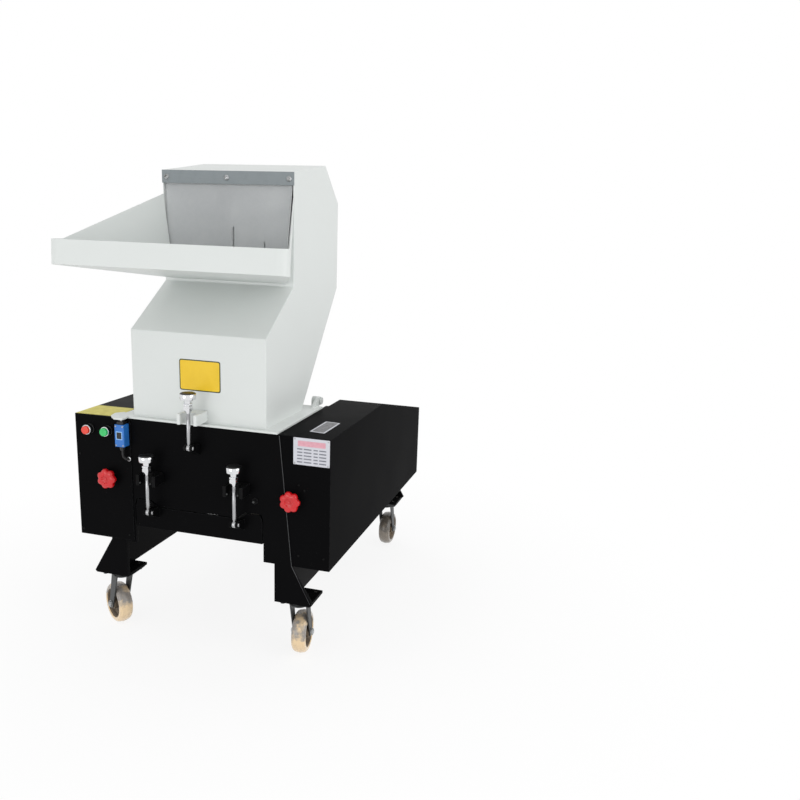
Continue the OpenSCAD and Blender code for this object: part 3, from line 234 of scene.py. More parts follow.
def piece(name, parts, material, body, bevel=0.0, segments=3, replaces=()):
    """One mesh object from several (points, faces) parts."""
    points, faces, start = [], [], 0
    for pts, quads in parts:
        points.append(pts)
        faces += [[start + k for k in face] for face in quads]
        start += len(pts)
    mesh = bpy.data.meshes.new(name)
    mesh.from_pydata(np.concatenate(points).tolist(), [], faces)
    finish_mesh(mesh, clean=False)
    thing = mounted(mesh, material, body, replaces)
    if bevel:
        add_bevel(thing, bevel, segments)
    return thing


def softened(node, material, body, bevel, segments=2):
    """Merged copy of a solid with its edges rounded; it stands for that solid."""
    mesh = nodes[node].data.copy()
    mesh.name = node + "_dressed"
    mesh.materials.clear()
    finish_mesh(mesh)
    add_bevel(mounted(mesh, material, body, (node,)), bevel, segments)


# %% [markdown]
# ## Shader groups
#
# Paint, metal and plastic each need the same few effects: small changes of
# tone, a fine surface grain, dust on top faces and paler edges, which are wear
# and, on the black base, also a painted highlight. Each effect is built once as
# a node group with named inputs. It only puts out colours and values, and the
# shader itself stays in the material.

# %% Small helpers for node trees
def add(tree, kind, sockets=(), **settings):
    """New node; a socket value is a link where it comes from another node."""
    made = tree.nodes.new(kind)
    for key, value in settings.items():
        setattr(made, key, value)
    for key, value in dict(sockets).items():
        if isinstance(value, bpy.types.NodeSocket):
            tree.links.new(value, made.inputs[key])
        else:
            made.inputs[key].default_value = value
    return made


def calc(tree, operation, *values, clamp=False):
    """Math node on two or three values."""
    pairs = list(enumerate(values))
    return add(tree, "ShaderNodeMath", pairs, operation=operation, use_clamp=clamp).outputs[0]


FACTOR, FIRST, SECOND, RESULT = 0, 6, 7, 2


def mix(tree, factor, first, second, mode="MIX"):
    """Colour mix: first where the factor is 0, second where it is 1."""
    pairs = [(FACTOR, factor), (FIRST, first), (SECOND, second)]
    made = add(tree, "ShaderNodeMix", pairs, data_type="RGBA", blend_type=mode)
    return made.outputs[RESULT]


def noise(tree, scale, detail=3.0, rough=0.55, vector=None):
    """Noise on the piece's own coordinates, as a value from 0 to 1."""
    where = vector or add(tree, "ShaderNodeTexCoord").outputs["Object"]
    pairs = {"Vector": where, "Scale": scale, "Detail": detail, "Roughness": rough}
    return add(tree, "ShaderNodeTexNoise", pairs).outputs["Fac"]


def ramp(tree, value, low, high, start=0.0, end=1.0):
    """Value stretched so that low becomes the start and high becomes the end."""
    pairs = {"Value": value, "From Min": low, "From Max": high, "To Min": start, "To Max": end}
    return add(tree, "ShaderNodeMapRange", pairs).outputs["Result"]


print("mix node sockets", FACTOR, FIRST, SECOND, RESULT)

# %% A new group with named sockets
COLOR = "NodeSocketColor"
VALUE = "NodeSocketFloat"
FINISH_OUT = [("Color", COLOR), ("Roughness", VALUE), ("Height", VALUE)]


def new_group(name, inputs):
    """Group with named inputs; returns the tree, its input node and its output node."""
    tree = bpy.data.node_groups.new(name, "ShaderNodeTree")
    for label, kind, value in inputs:
        made = tree.interface.new_socket(label, in_out="INPUT", socket_type=kind)
        made.default_value = value
    for label, kind in FINISH_OUT:
        tree.interface.new_socket(label, in_out="OUTPUT", socket_type=kind)
    return tree, tree.nodes.new("NodeGroupInput").outputs, tree.nodes.new("NodeGroupOutput").inputs


print("every finish puts out", [label for label, kind in FINISH_OUT])

# %% [markdown]
# ### Powder coat
#
# Powder coat has a fine orange peel and a slow drift of tone. It wears to a
# paler line where sheets are bent; on the black base that paler line is also a
# painted highlight. Dust settles on what faces up. The edge is found by
# comparing a rounded normal with the true one.

# %% Powder coat with worn edges, painted edge highlights and dust
EDGE_REACH = 1.6 * MM


def powder_coat_group():
    """Colour, roughness and height of powder coat with paler edges and dust; the edges are wear,
    and on the base also a painted highlight.
    """
    tree, given, out = new_group(
        "powder_coat_edges_and_dust",
        [
            ("Paint", COLOR, (0.5, 0.5, 0.5, 1)),
            ("Edge", COLOR, (0.6, 0.6, 0.6, 1)),
            ("Dust", COLOR, (0.5, 0.48, 0.45, 1)),
            ("Gloss loss", VALUE, 0.4),
            ("Edge wear", VALUE, 0.3),
            ("Dust amount", VALUE, 0.2),
            ("Peel scale", VALUE, 420.0),
            ("Drift", VALUE, 0.08),
        ],
    )
    surface = add(tree, "ShaderNodeNewGeometry").outputs["Normal"]
    round_normal = add(tree, "ShaderNodeBevel", {"Radius": EDGE_REACH}, samples=4).outputs[0]
    match = add(
        tree, "ShaderNodeVectorMath", [(0, surface), (1, round_normal)], operation="DOT_PRODUCT"
    ).outputs["Value"]
    broken = ramp(tree, noise(tree, 75.0, 5.0, 0.7), 0.38, 0.66)
    corner = ramp(tree, match, 0.985, 0.86)
    edge = calc(tree, "MULTIPLY", calc(tree, "MULTIPLY", corner, broken), given["Edge wear"])
    drift = calc(tree, "SUBTRACT", noise(tree, 5.0, 4.0), 0.5)
    tone = calc(tree, "MULTIPLY_ADD", drift, given["Drift"], 1.0)
    grey = add(tree, "ShaderNodeCombineColor", {"Red": tone, "Green": tone, "Blue": tone})
    painted = mix(tree, 1.0, given["Paint"], grey.outputs[0], "MULTIPLY")
    up = add(tree, "ShaderNodeSeparateXYZ", {"Vector": surface}).outputs["Z"]
    settled = calc(tree, "POWER", calc(tree, "MAXIMUM", up, 0.0), 3.0)
    patches = ramp(tree, noise(tree, 22.0, 6.0, 0.65), 0.3, 0.75)
    dust = calc(tree, "MULTIPLY", calc(tree, "MULTIPLY", settled, patches), given["Dust amount"])
    # Paler edges: wear, and on the black base also a painted highlight
    worn = mix(tree, edge, painted, given["Edge"])
    tree.links.new(mix(tree, dust, worn, given["Dust"]), out["Color"])
    rough = calc(tree, "MULTIPLY_ADD", drift, 0.12, given["Gloss loss"])
    rough = calc(tree, "ADD", rough, calc(tree, "MULTIPLY", dust, 0.5))
    tree.links.new(calc(tree, "ADD", rough, calc(tree, "MULTIPLY", edge, 0.1)), out["Roughness"])
    tree.links.new(noise(tree, given["Peel scale"], 2.0), out["Height"])
    return tree


POWDER = powder_coat_group()
print("powder coat", len(POWDER.nodes), "nodes")

# %% [markdown]
# ### Metal, castings and plastic
#
# Turned and drawn steel shows fine lines along one direction, so the noise is
# squeezed across it. Castings, polyurethane and rubber are mottled instead:
# two tones mixed by noise, with small pits. Moulded plastic is almost even.

# %% Drawn metal
def drawn_metal_group():
    """Noise squeezed across the grain gives fine lines, and a second noise the stains."""
    tree, given, out = new_group(
        "drawn_metal",
        [
            ("Metal", COLOR, (0.6, 0.6, 0.6, 1)),
            ("Stain", COLOR, (0.3, 0.28, 0.25, 1)),
            ("Grain", "NodeSocketVector", (900.0, 900.0, 30.0)),
            ("Base roughness", VALUE, 0.25),
            ("Stain amount", VALUE, 0.2),
        ],
    )
    place = add(tree, "ShaderNodeTexCoord").outputs["Object"]
    squeezed = add(
        tree, "ShaderNodeVectorMath", [(0, place), (1, given["Grain"])], operation="MULTIPLY"
    ).outputs["Vector"]
    lines = noise(tree, 1.0, 3.0, 0.6, squeezed)
    patch = ramp(tree, noise(tree, 38.0, 5.0, 0.65), 0.48, 0.75)
    stain = calc(tree, "MULTIPLY", patch, given["Stain amount"])
    lit = mix(tree, calc(tree, "MULTIPLY", lines, 0.25), given["Metal"], given["Stain"])
    tree.links.new(mix(tree, stain, lit, given["Stain"]), out["Color"])
    rough = calc(tree, "MULTIPLY_ADD", lines, 0.16, given["Base roughness"])
    tree.links.new(calc(tree, "MULTIPLY_ADD", stain, 0.4, rough), out["Roughness"])
    tree.links.new(lines, out["Height"])
    return tree


DRAWN = drawn_metal_group()
print("drawn metal", len(DRAWN.nodes), "nodes")

# %% Mottled stock
def mottled_group():
    """Two tones mixed by a stretched noise, with a second noise for pits."""
    tree, given, out = new_group(
        "mottled_stock",
        [
            ("First", COLOR, (0.5, 0.5, 0.5, 1)),
            ("Second", COLOR, (0.3, 0.3, 0.3, 1)),
            ("Patch scale", VALUE, 40.0),
            ("Low", VALUE, 0.4),
            ("High", VALUE, 0.62),
            ("Pit scale", VALUE, 300.0),
            ("Base roughness", VALUE, 0.5),
        ],
    )
    patch = ramp(tree, noise(tree, given["Patch scale"], 6.0, 0.62), given["Low"], given["High"])
    pits = noise(tree, given["Pit scale"], 3.0, 0.6)
    tree.links.new(mix(tree, patch, given["First"], given["Second"]), out["Color"])
    rough = calc(tree, "MULTIPLY_ADD", patch, 0.18, given["Base roughness"])
    tree.links.new(rough, out["Roughness"])
    tree.links.new(pits, out["Height"])
    return tree


MOTTLED = mottled_group()
print("mottled stock", len(MOTTLED.nodes), "nodes")

# %% [markdown]
# ## Materials
#
# Colours are written as they look on a screen and turned into light values
# here. One function puts a group in front of the shader. Three short ones
# name the group's numbers in a fixed order, so that every finish of the
# machine is one call: its colours, its numbers, then how strong and how deep
# the bump is, in millimetres.

# %% Turning a group into a material
COAT_ROUGHNESS = 0.08
SHADER_INPUTS = {
    "metallic": "Metallic", "coat": "Coat Weight", "specular": "Specular IOR Level",
    "alpha": "Alpha",
}


def tint(red, green, blue):
    """Screen colour from 0 to 255 as the light values that shaders use."""
    c = np.array([red, green, blue]) / 255
    lit = np.where(c <= 0.04045, c / 12.92, ((c + 0.055) / 1.055) ** 2.4)
    return (*lit.tolist(), 1.0)


def finish(name, group, values, bump, depth, **shader):
    """Material with a group's colour, roughness and height on a principled shader."""
    material = bpy.data.materials.new(name)
    material.use_nodes = True
    tree = material.node_tree
    surface = tree.nodes["Principled BSDF"]
    made = tree.nodes.new("ShaderNodeGroup")
    made.node_tree = group
    for key, value in values.items():
        made.inputs[key].default_value = value
    tree.links.new(made.outputs["Color"], surface.inputs["Base Color"])
    tree.links.new(made.outputs["Roughness"], surface.inputs["Roughness"])
    raised = add(tree, "ShaderNodeBump", {
        "Height": made.outputs["Height"], "Strength": bump, "Distance": depth * MM
    }).outputs["Normal"]
    tree.links.new(raised, surface.inputs["Normal"])
    surface.inputs["Coat Roughness"].default_value = COAT_ROUGHNESS
    for key, value in shader.items():
        surface.inputs[SHADER_INPUTS[key]].default_value = value
    return material


POWDER_NUMBERS = ("Gloss loss", "Edge wear", "Dust amount", "Peel scale", "Drift")
MOTTLED_NUMBERS = ("Patch scale", "Low", "High", "Pit scale", "Base roughness")


def powder(name, paint, edge, dust, numbers, bump, depth, **shader):
    """Powder coat from three colours and the numbers named in POWDER_NUMBERS."""
    values = {"Paint": tint(*paint), "Edge": tint(*edge), "Dust": tint(*dust)}
    values.update(zip(POWDER_NUMBERS, numbers))
    return finish(name, POWDER, values, bump, depth, **shader)


def mottled(name, first, second, numbers, bump, depth, **shader):
    """Mottled stock from two colours and the numbers named in MOTTLED_NUMBERS."""
    values = {"First": tint(*first), "Second": tint(*second)}
    values.update(zip(MOTTLED_NUMBERS, numbers))
    return finish(name, MOTTLED, values, bump, depth, **shader)


def drawn(name, metal, stain, grain, rough, stained, bump, depth, **shader):
    """Drawn metal: two colours, the grain's direction, its roughness and its stains."""
    values = {
        "Metal": tint(*metal), "Stain": tint(*stain), "Grain": grain,
        "Base roughness": rough, "Stain amount": stained,
    }
    return finish(name, DRAWN, values, bump, depth, **shader)


print("a mid grey of 128 is", round(tint(128, 128, 128)[0], 3), "as light")

# %% [markdown]
# ### Paints
#
# The hopper is light grey and hardly worn. The base is black and satin, and
# the belt guard is duller, so that its long side doesn't mirror the room. The
# forks are dark grey, and the motor is a greyed blue.

# %% Paints
hopper_paint = powder("hopper_paint", (217, 221, 219), (236, 238, 237), (205, 204, 199),
                      (0.42, 0.35, 0.10, 330, 0.05), 0.12, 0.12)
# Black base: its pale edge colour is partly wear and partly a painted highlight
base_paint = powder("base_paint", (12, 12, 13), (104, 105, 108), (58, 58, 57),
                    (0.38, 0.3, 0.14, 420, 0.3), 0.18, 0.12, specular=0.016)
fitting_paint = powder("fitting_paint", (12, 12, 13), (96, 96, 98), (60, 59, 57),
                       (0.42, 0.5, 0.12, 500, 0.3), 0.2, 0.1, specular=0.08)
fork_paint = powder("fork_paint", (42, 44, 45), (120, 120, 120), (110, 104, 96),
                    (0.46, 0.9, 0.4, 500, 0.4), 0.25, 0.12)
guard_paint = powder("guard_paint", (14, 14, 15), (76, 77, 79), (64, 64, 65),
                     (0.42, 0.7, 0.12, 420, 0.25), 0.18, 0.12, specular=0.004)
rotor_paint = powder("rotor_paint", (60, 61, 63), (120, 120, 120), (110, 108, 104),
                     (0.5, 0.9, 0.4, 300, 0.3), 0.3, 0.2)
motor_paint = powder("motor_paint", (58, 86, 112), (120, 132, 140), (120, 116, 108),
                     (0.45, 0.6, 0.45, 380, 0.25), 0.3, 0.15)
print("paints", 7)

# %% [markdown]
# ### Metals
#
# Chrome is nearly a mirror. The rods, pins and shafts are plain bright steel,
# the knives and the screen are ground across, and the curtain's bar is a dull
# strip. Castings and zinc plate have no grain, so they are mottled.

# %% Metals
chrome = drawn("chrome", (232, 233, 235), (150, 150, 152), (60.0, 60.0, 60.0),
               0.03, 0.12, 0.02, 0.02, metallic=1.0)
bright_steel = drawn("bright_steel", (186, 187, 189), (104, 102, 99), (900.0, 900.0, 60.0),
                     0.24, 0.3, 0.06, 0.03, metallic=1.0)
ground_steel = drawn("ground_steel", (178, 180, 184), (96, 92, 88), (40.0, 900.0, 900.0),
                     0.24, 0.4, 0.1, 0.05, metallic=1.0)
bar_steel = drawn("bar_steel", (140, 147, 150), (100, 106, 109), (30.0, 700.0, 700.0),
                  0.42, 0.15, 0.05, 0.03, metallic=0.1, specular=0.3)
cast_iron = mottled("cast_iron", (70, 71, 72), (46, 46, 47), (60, 0.35, 0.7, 420, 0.5),
                    0.5, 0.3, metallic=0.6)
zinc = mottled("zinc_plate", (188, 190, 192), (150, 152, 150), (120, 0.4, 0.65, 700, 0.28),
               0.1, 0.04, metallic=1.0)
print("metals", 6)

# %% [markdown]
# ### Rubber and plastics
#
# Each plastic is a pair of close tones. The knobs are glossy, so they get a
# clear coat. The front casters have a cream polyurethane tread that is clean
# where it stands and darker higher up: partly dirt, partly painted shade and a
# painted reflection of the dark frame above, so the share of the dark tone
# grows with height. The rear ones are darker all over.

# %% Rubber and plastics
rubber = mottled("rubber", (22, 22, 23), (34, 33, 32), (90, 0.4, 0.75, 900, 0.62), 0.25, 0.06)
black_plastic = mottled("black_plastic", (18, 18, 19), (28, 28, 29),
                        (60, 0.4, 0.8, 1100, 0.38), 0.15, 0.04)
# Grey of the painted highlight along the front plate's cut edge
painted_edge_highlight = mottled("edge_highlight_grey", (58, 59, 61), (38, 39, 40),
                    (40, 0.4, 0.75, 700, 0.4), 0.1, 0.05)
knob_red = mottled("knob_red", (208, 14, 24), (192, 10, 19),
                   (26, 0.35, 0.75, 240, 0.24), 0.05, 0.06, coat=0.25)
stop_red = mottled("stop_red", (232, 66, 44), (222, 54, 36),
                   (60, 0.4, 0.7, 500, 0.3), 0.04, 0.03, coat=0.4)
start_green = mottled("start_green", (44, 196, 104), (34, 182, 92),
                      (60, 0.4, 0.7, 500, 0.3), 0.04, 0.03, coat=0.4)
switch_blue = mottled("switch_blue", (44, 118, 202), (36, 104, 184),
                      (40, 0.4, 0.75, 620, 0.34), 0.1, 0.05, coat=0.15)
switch_light = mottled("switch_light", (150, 196, 244), (132, 182, 236),
                       (40, 0.4, 0.75, 620, 0.34), 0.05, 0.03)
wheel_core = mottled("wheel_core", (112, 96, 76), (52, 47, 42),
                     (55, 0.4, 0.7, 400, 0.5), 0.3, 0.1)
print("rubber and plastics", 9)

# %% Caster treads
DARK_FROM, DARK_TO = 0.045, 0.085
CLEAN_LOW, SHADE_AND_DIRT_LOW = 0.66, 0.34
PATCH_BLUR = 0.18


def tread_finish(name, light, dark):
    """Mottled tread whose share of the dark tone grows with height above the floor: partly dirt,
    partly painted shade and a painted reflection of the frame above.
    """
    material = mottled(name, light, dark, (34, 0.4, 0.62, 260, 0.24), 0.18, 0.15, coat=0.6)
    tree = material.node_tree
    made = next(node for node in tree.nodes if node.type == "GROUP")
    place = add(tree, "ShaderNodeTexCoord").outputs["Object"]
    height = add(tree, "ShaderNodeSeparateXYZ", {"Vector": place}).outputs["Z"]
    # Painted shade and reflection of the frame above, partly dirt: the tread darkens with height
    start = ramp(tree, height, DARK_FROM, DARK_TO, CLEAN_LOW, SHADE_AND_DIRT_LOW)
    tree.links.new(start, made.inputs["Low"])
    tree.links.new(calc(tree, "ADD", start, PATCH_BLUR), made.inputs["High"])
    return material


wheel_tread = tread_finish("wheel_tread", (238, 210, 168), (146, 140, 134))
dark_tread = tread_finish("dark_tread", (134, 124, 112), (88, 82, 75))
print("treads turn dark between", DARK_FROM, "and", DARK_TO, "metres")

# %% [markdown]
# ### Plates
#
# The machine's plates are coated sheet: yellow, a worn yellow that lay under
# hands and dust, grey, and silver with pale pink and grey bars.

# %% Bare plates
plate_yellow = mottled("plate_yellow", (238, 197, 20), (231, 189, 17),
                       (30, 0.4, 0.8, 900, 0.36), 0.04, 0.02)
plate_yellow_worn = mottled("plate_yellow_worn", (216, 204, 78), (196, 184, 84),
                            (50, 0.35, 0.75, 900, 0.42), 0.05, 0.02)
plate_white = mottled("white_plastic", (232, 233, 232), (214, 214, 212),
                      (60, 0.4, 0.8, 700, 0.4), 0.05, 0.03)
plate_green = mottled("plate_border_green", (46, 62, 22), (38, 52, 18),
                      (80, 0.4, 0.8, 900, 0.4), 0.03, 0.02)
plate_silver = drawn("plate_silver", (206, 207, 214), (170, 171, 178), (60.0, 900.0, 900.0),
                     0.32, 0.2, 0.05, 0.02, metallic=0.3)
plate_grey = mottled("plate_grey", (112, 112, 115), (90, 90, 93),
                     (160, 0.4, 0.7, 900, 0.4), 0.04, 0.02)
plate_pink = mottled("plate_pink", (222, 166, 178), (214, 152, 166),
                     (160, 0.4, 0.7, 900, 0.4), 0.04, 0.02)
plate_ink = mottled("plate_ink", (112, 114, 124), (140, 142, 150),
                    (260, 0.4, 0.7, 900, 0.4), 0.04, 0.02)
print("plate finishes", 8)

# %% [markdown]
# ### Clear curtain
#
# The curtain is a sheet of clear soft plastic with a faint grey cast. A
# transmitting shader would keep the lamps' light out of the hopper behind it,
# so a low alpha is used instead: it lets light and view through alike, and
# the gloss stays. A slow noise in its height gives the ripples of such a sheet.

# %% Clear sheet
curtain_clear = mottled("curtain_clear", (238, 240, 242), (228, 230, 233),
                        (18, 0.35, 0.75, 9, 0.2), 0.06, 0.3, alpha=0.31, specular=0.3)
curtain_edge = mottled("curtain_edge", (120, 126, 128), (104, 110, 112),
                       (30, 0.4, 0.75, 300, 0.3), 0.05, 0.05, alpha=0.7)
print("materials", len(bpy.data.materials))

# %% [markdown]
# ## Hopper
#
# The hopper is folded from 3 mm sheet, so its folds are small arcs and its
# walls show their thickness at the mouth. The solid has sharp folds. Here the
# outer skin is built as an open sheet: the side outline with its fold points
# carried across the width, and two side walls. A bevel rounds the folds, then
# Solidify gives the sheet its thickness inwards, and a last bevel its lips.

# %% Sheets with rounded folds
SHEET = 3.0
FOLD_ANGLE = math.radians(8)
LIP_ANGLE = math.radians(60)
LIP = 0.5


def solidify(thing, thickness, offset=-1.0):
    """Gives a sheet its thickness, in millimetres; an offset of -1 puts it inside."""
    wall = thing.modifiers.new("sheet", "SOLIDIFY")
    wall.thickness = thickness * MM
    wall.offset = offset
    wall.use_even_offset = True


def sheet_piece(name, part, replaces, fold):
    """Open sheet of the hopper with rounded folds, a wall thickness and soft lips."""
    thing = piece(name, [part], hopper_paint, "hopper", replaces=replaces)
    add_edge(thing, "folds", fold, 4, FOLD_ANGLE)
    solidify(thing, SHEET)
    add_edge(thing, "lips", LIP, 2, LIP_ANGLE)
    thing.modifiers.new("even_normals", "WEIGHTED_NORMAL")
    return thing


print("sheet thickness", SHEET, "mm")

# %% Folded hopper
HALF = 205.0
MOUTH_Y = 200.0
MOUTH_FLOOR = 389.0
MOUTH_FOOT = 177.0
FLANGE_TOP = 6.5
LEAN_H = 594.0
BAR_LOW = 657.0


def hopper_skin():
    """Corners of both side outlines; strips between them, side walls, and the mouth's frame."""
    side = np.array([
        (15, FLANGE_TOP), (15, 253), (MOUTH_Y, 379), (MOUTH_Y, 693), (440, 728),
        (555, 621), (555, 353), (265, FLANGE_TOP),
    ], float)
    n = len(side)
    left = spot(-HALF, side[:, 0], side[:, 1])
    right = spot(HALF, side[:, 0], side[:, 1])
    inner = HALF - SHEET
    mouth_x = np.array([-MOUTH_FOOT, MOUTH_FOOT, inner, inner, -inner, -inner])
    mouth_z = np.array([MOUTH_FLOOR, MOUTH_FLOOR, LEAN_H, BAR_LOW, BAR_LOW, LEAN_H])
    points = np.concatenate([left, right, spot(mouth_x, MOUTH_Y, mouth_z)])
    wraps = [[i, i + 1, n + i + 1, n + i] for i in range(n - 1) if i != 2]
    walls = [list(range(n))[::-1], list(range(n, 2 * n))]
    a, b, c, d = 2, 3, n + 3, n + 2
    m = 2 * n
    frame_faces = [
        [a, d, m + 1, m], [d, c, m + 3, m + 2, m + 1], [c, b, m + 4, m + 3],
        [b, a, m, m + 5, m + 4],
    ]
    return points, wraps + walls + frame_faces


hopper = sheet_piece("hopper_skin", hopper_skin(), ("hopper_shell",), fold=2.5)
print("hopper skin", len(hopper.data.vertices), "corners")

# %% [markdown]
# ### Feed tray
#
# The tray's wall runs from one side of the mouth along the flared wing, round
# two soft front corners and back. Its foot sits on the edge of a sloping
# floor. Wall and floor are one open sheet here, so their fold is rounded too.

# %% Feed tray
TRAY_STEPS = 14
CORNER = 30.0
REACH = -150.0
KNEE_Y = -95.0
FRONT_FLOOR = 433.0
FRONT_TOP = 496.0
FRONT_LEAN = 9.0
REAR_FLOOR = 386.0
REAR_TOP = 626.0
TRAY_HALF = 332.0
MOUTH_HALF = 180.0


def tray_path():
    """Left half of the wall: foot x, top x, foot y, top y, top z; an arc makes the corner."""
    corner_y = REACH + CORNER
    share = (MOUTH_Y - KNEE_Y) / (MOUTH_Y - corner_y)
    foot_x = -MOUTH_HALF - (TRAY_HALF - MOUTH_HALF) * share
    top_x = -HALF - (TRAY_HALF - HALF) * share
    a = np.radians(180 + np.linspace(0, 90, TRAY_STEPS))
    x = -TRAY_HALF + CORNER * (1 + np.cos(a))
    y = corner_y + CORNER * np.sin(a)
    lean = np.linspace(0, FRONT_LEAN, TRAY_STEPS)
    arc = np.stack([x, x, y, y + lean, np.full(TRAY_STEPS, FRONT_TOP)], axis=-1)
    wing = [
        (-MOUTH_HALF, -HALF, MOUTH_Y, MOUTH_Y, REAR_TOP),
        (foot_x, top_x, KNEE_Y, KNEE_Y, FRONT_TOP),
    ]
    return np.concatenate([wing, arc])


def tray_sheet():
    """Wall strip between foot and top points, and the floor between mirrored foot points."""
    left = tray_path()
    right = left[::-1] * np.array([-1, -1, 1, 1, 1])
    path = np.concatenate([left, right])
    n = len(path)
    slope = (REAR_FLOOR - FRONT_FLOOR) / (MOUTH_Y - REACH)
    floor_z = FRONT_FLOOR + slope * (path[:, 2] - REACH)
    foot = spot(path[:, 0], path[:, 2], floor_z)
    top = spot(path[:, 1], path[:, 3], path[:, 4])
    wall = grid_faces(2, n)
    floor = [[i, n - 1 - i, n - 2 - i, i + 1] for i in range(n // 2 - 1)]
    return np.concatenate([foot, top]), wall + floor


tray = sheet_piece("feed_tray_skin", tray_sheet(), ("feed_tray",), fold=3.0)
print("feed tray", len(tray.data.vertices), "corners")

# %% [markdown]
# ### Flange and tongue
#
# The hopper stands on a plate with hinge lugs at the back and clamp horns at
# the front. The solid has its shape, so a copy with rounded edges is enough.
# A tongue on the left of it reaches over the limit switch. It is a finger of
# plate with round corners, drawn as an outline and carried upwards.

# %% Flange and switch tongue
softened("hopper_flange", hopper_paint, "hopper", 0.8, 3)
tongue_outline = [
    (-246, 50), (-271, 22), (-264, -8), (-241, -29.5), (-213, -29.5), (-211, -2), (-244, -2),
]
tongue = piece(
    "switch_tongue_finger", [plate(rounded(tongue_outline, 9, 7), 0.6, 6.4, "z")], hopper_paint,
    "hopper", 1.4, 3, ("switch_tongue",),
)
print("switch tongue", len(tongue.data.vertices), "corners")

# %% [markdown]
# ## Base sheets and castings
#
# The frame, boxes, clamps' saddles and the parts of the cutting chamber are
# plate work and castings whose shape is right in the solid model. What they
# lack is a broken edge. Each is copied, its doubles are merged, and a small
# bevel goes on every sharp edge, wider on castings than on cut plate.

# %% One finish and one edge for every plate and casting
BODY_OF = {
    node: body
    for body, members in frame["record"]["behaviour"]["bodies"].items()
    for node in members
}
PLATES = {
    "front_plate": (base_paint, 1.0),
    "rear_plate": (base_paint, 1.0),
    "side_plates": (base_paint, 0.8),
    "control_box": (base_paint, 0.8),
    "belt_guard": (guard_paint, 1.2),
    "motor_base": (base_paint, 0.8),
    "hinge_brackets": (hopper_paint, 1.0),
    "clamp_lug": (fitting_paint, 0.8),
    "clamp_saddles": (fitting_paint, 0.7),
    "screen_cradle": (base_paint, 0.8),
    "chamber_cheeks": (cast_iron, 1.2),
    "front_knife_beam": (cast_iron, 1.5),
    "rear_knife_beam": (cast_iron, 1.5),
    "bearing_housings": (cast_iron, 1.2),
    "bed_knives": (ground_steel, 0.3),
    "rotor_knives": (ground_steel, 0.3),
    "rotor_body": (rotor_paint, 0.8),
    "flywheel": (cast_iron, 0.8),
    "motor_pulley": (cast_iron, 0.6),
    "curtain_bar": (bar_steel, 0.5),
    "cable_gland": (black_plastic, 0.5),
    "rotor_shaft": (bright_steel, 0.6),
    "cradle_hinge_pin": (bright_steel, 0.5),
    "caster_plates": (fork_paint, 0.6),
}
for node, (material, edge) in PLATES.items():
    softened(node, material, BODY_OF[node], edge)
print("plates and castings", len(PLATES))

# %% [markdown]
# ### Solids that stay
#
# The perforated screen, the belts and the switch's plunger need no rounding
# that anyone would see, so their solids stay and only take a material.

# %% Nodes that keep their solid
KEPT = {
    "screen": ground_steel,
    "drive_belts": rubber,
    "switch_plunger": bright_steel,
}
for node, material in KEPT.items():
    nodes[node].data.materials.clear()
    nodes[node].data.materials.append(material)
print("kept solids", len(KEPT))

# %% [markdown]
# ### Screws
#
# A pan-head screw is a low dome with a cross cut into it. As a height over a
# round grid the dome is part of an ellipse, and the cross is a drop wherever
# a point lies near one of two crossed lines. One grid gives head and recess.

# %% Pan-head screws
ARM_SHARE, REACH_SHARE, RECESS_SHARE = 0.13, 0.62, 0.35


def screw_head(x, y, z, radius, height, turn=0.0, rings=12, sides=48):
    """Dome height h (1 - (r/R)^2)^0.5 less a cross-shaped drop, facing the front."""
    r = radius * np.sin(np.linspace(0, np.pi / 2, rings)) ** 0.9
    a = np.linspace(0, 2 * np.pi, sides, endpoint=False)
    u = r[:, None] * np.cos(a)
    v = r[:, None] * np.sin(a)
    dome = height * np.sqrt(np.clip(1 - (r / radius) ** 2, 0, 1))[:, None] + 0 * a
    c, s = math.cos(turn), math.sin(turn)
    near_line = np.minimum(np.abs(c * u + s * v), np.abs(c * v - s * u)) < ARM_SHARE * radius
    cross = near_line & (np.hypot(u, v) < REACH_SHARE * radius)
    top = np.where(cross, RECESS_SHARE * height, dome)
    pts = np.stack([u + x, y - top, v + z], axis=-1).reshape(-1, 3)
    return spot(pts[:, 0], pts[:, 1], pts[:, 2]), grid_faces(rings, sides, round_columns=True)


BAR_SCREWS = ((-190, 0.3), (0, 0.9), (190, 0.1))
BAR_FRONT, BAR_MIDDLE = 197.0, 674.0
heads = [screw_head(x, BAR_FRONT, BAR_MIDDLE, 8.0, 4.0, turn) for x, turn in BAR_SCREWS]
piece("curtain_bar_screw_heads", heads, zinc, "hopper", replaces=("curtain_bar_screws",))
print("screw heads", len(heads))

# %% [markdown]
# ### Star knobs
#
# A star knob is a moulded disc with seven finger lobes and a dished face. Its
# profile is turned, and the radius follows a cosine of seven waves, made
# broader on the lobes than between them. The insert in its middle is turned
# without the wave, so it stays round.

# %% Star knobs
LOBES = 7
STAR_Z = -179
COVER_FRONT = -3.0
GUARD_FRONT = 3.0
FORWARD = "y"


def star_wave(a):
    """Radius share: 1 on a lobe and about 0.84 between two lobes."""
    wave = 0.5 + 0.5 * np.cos(LOBES * (a - np.pi / 2))
    return 0.835 + 0.165 * wave**0.62


def turned_front(profile, x, z, y=COVER_FRONT, sides=48, lobes=None):
    """Turned part whose profile runs from its foot forwards, towards the viewer."""
    return turned([(r, -d) for r, d in profile], (x, y, z), FORWARD, sides, lobes)


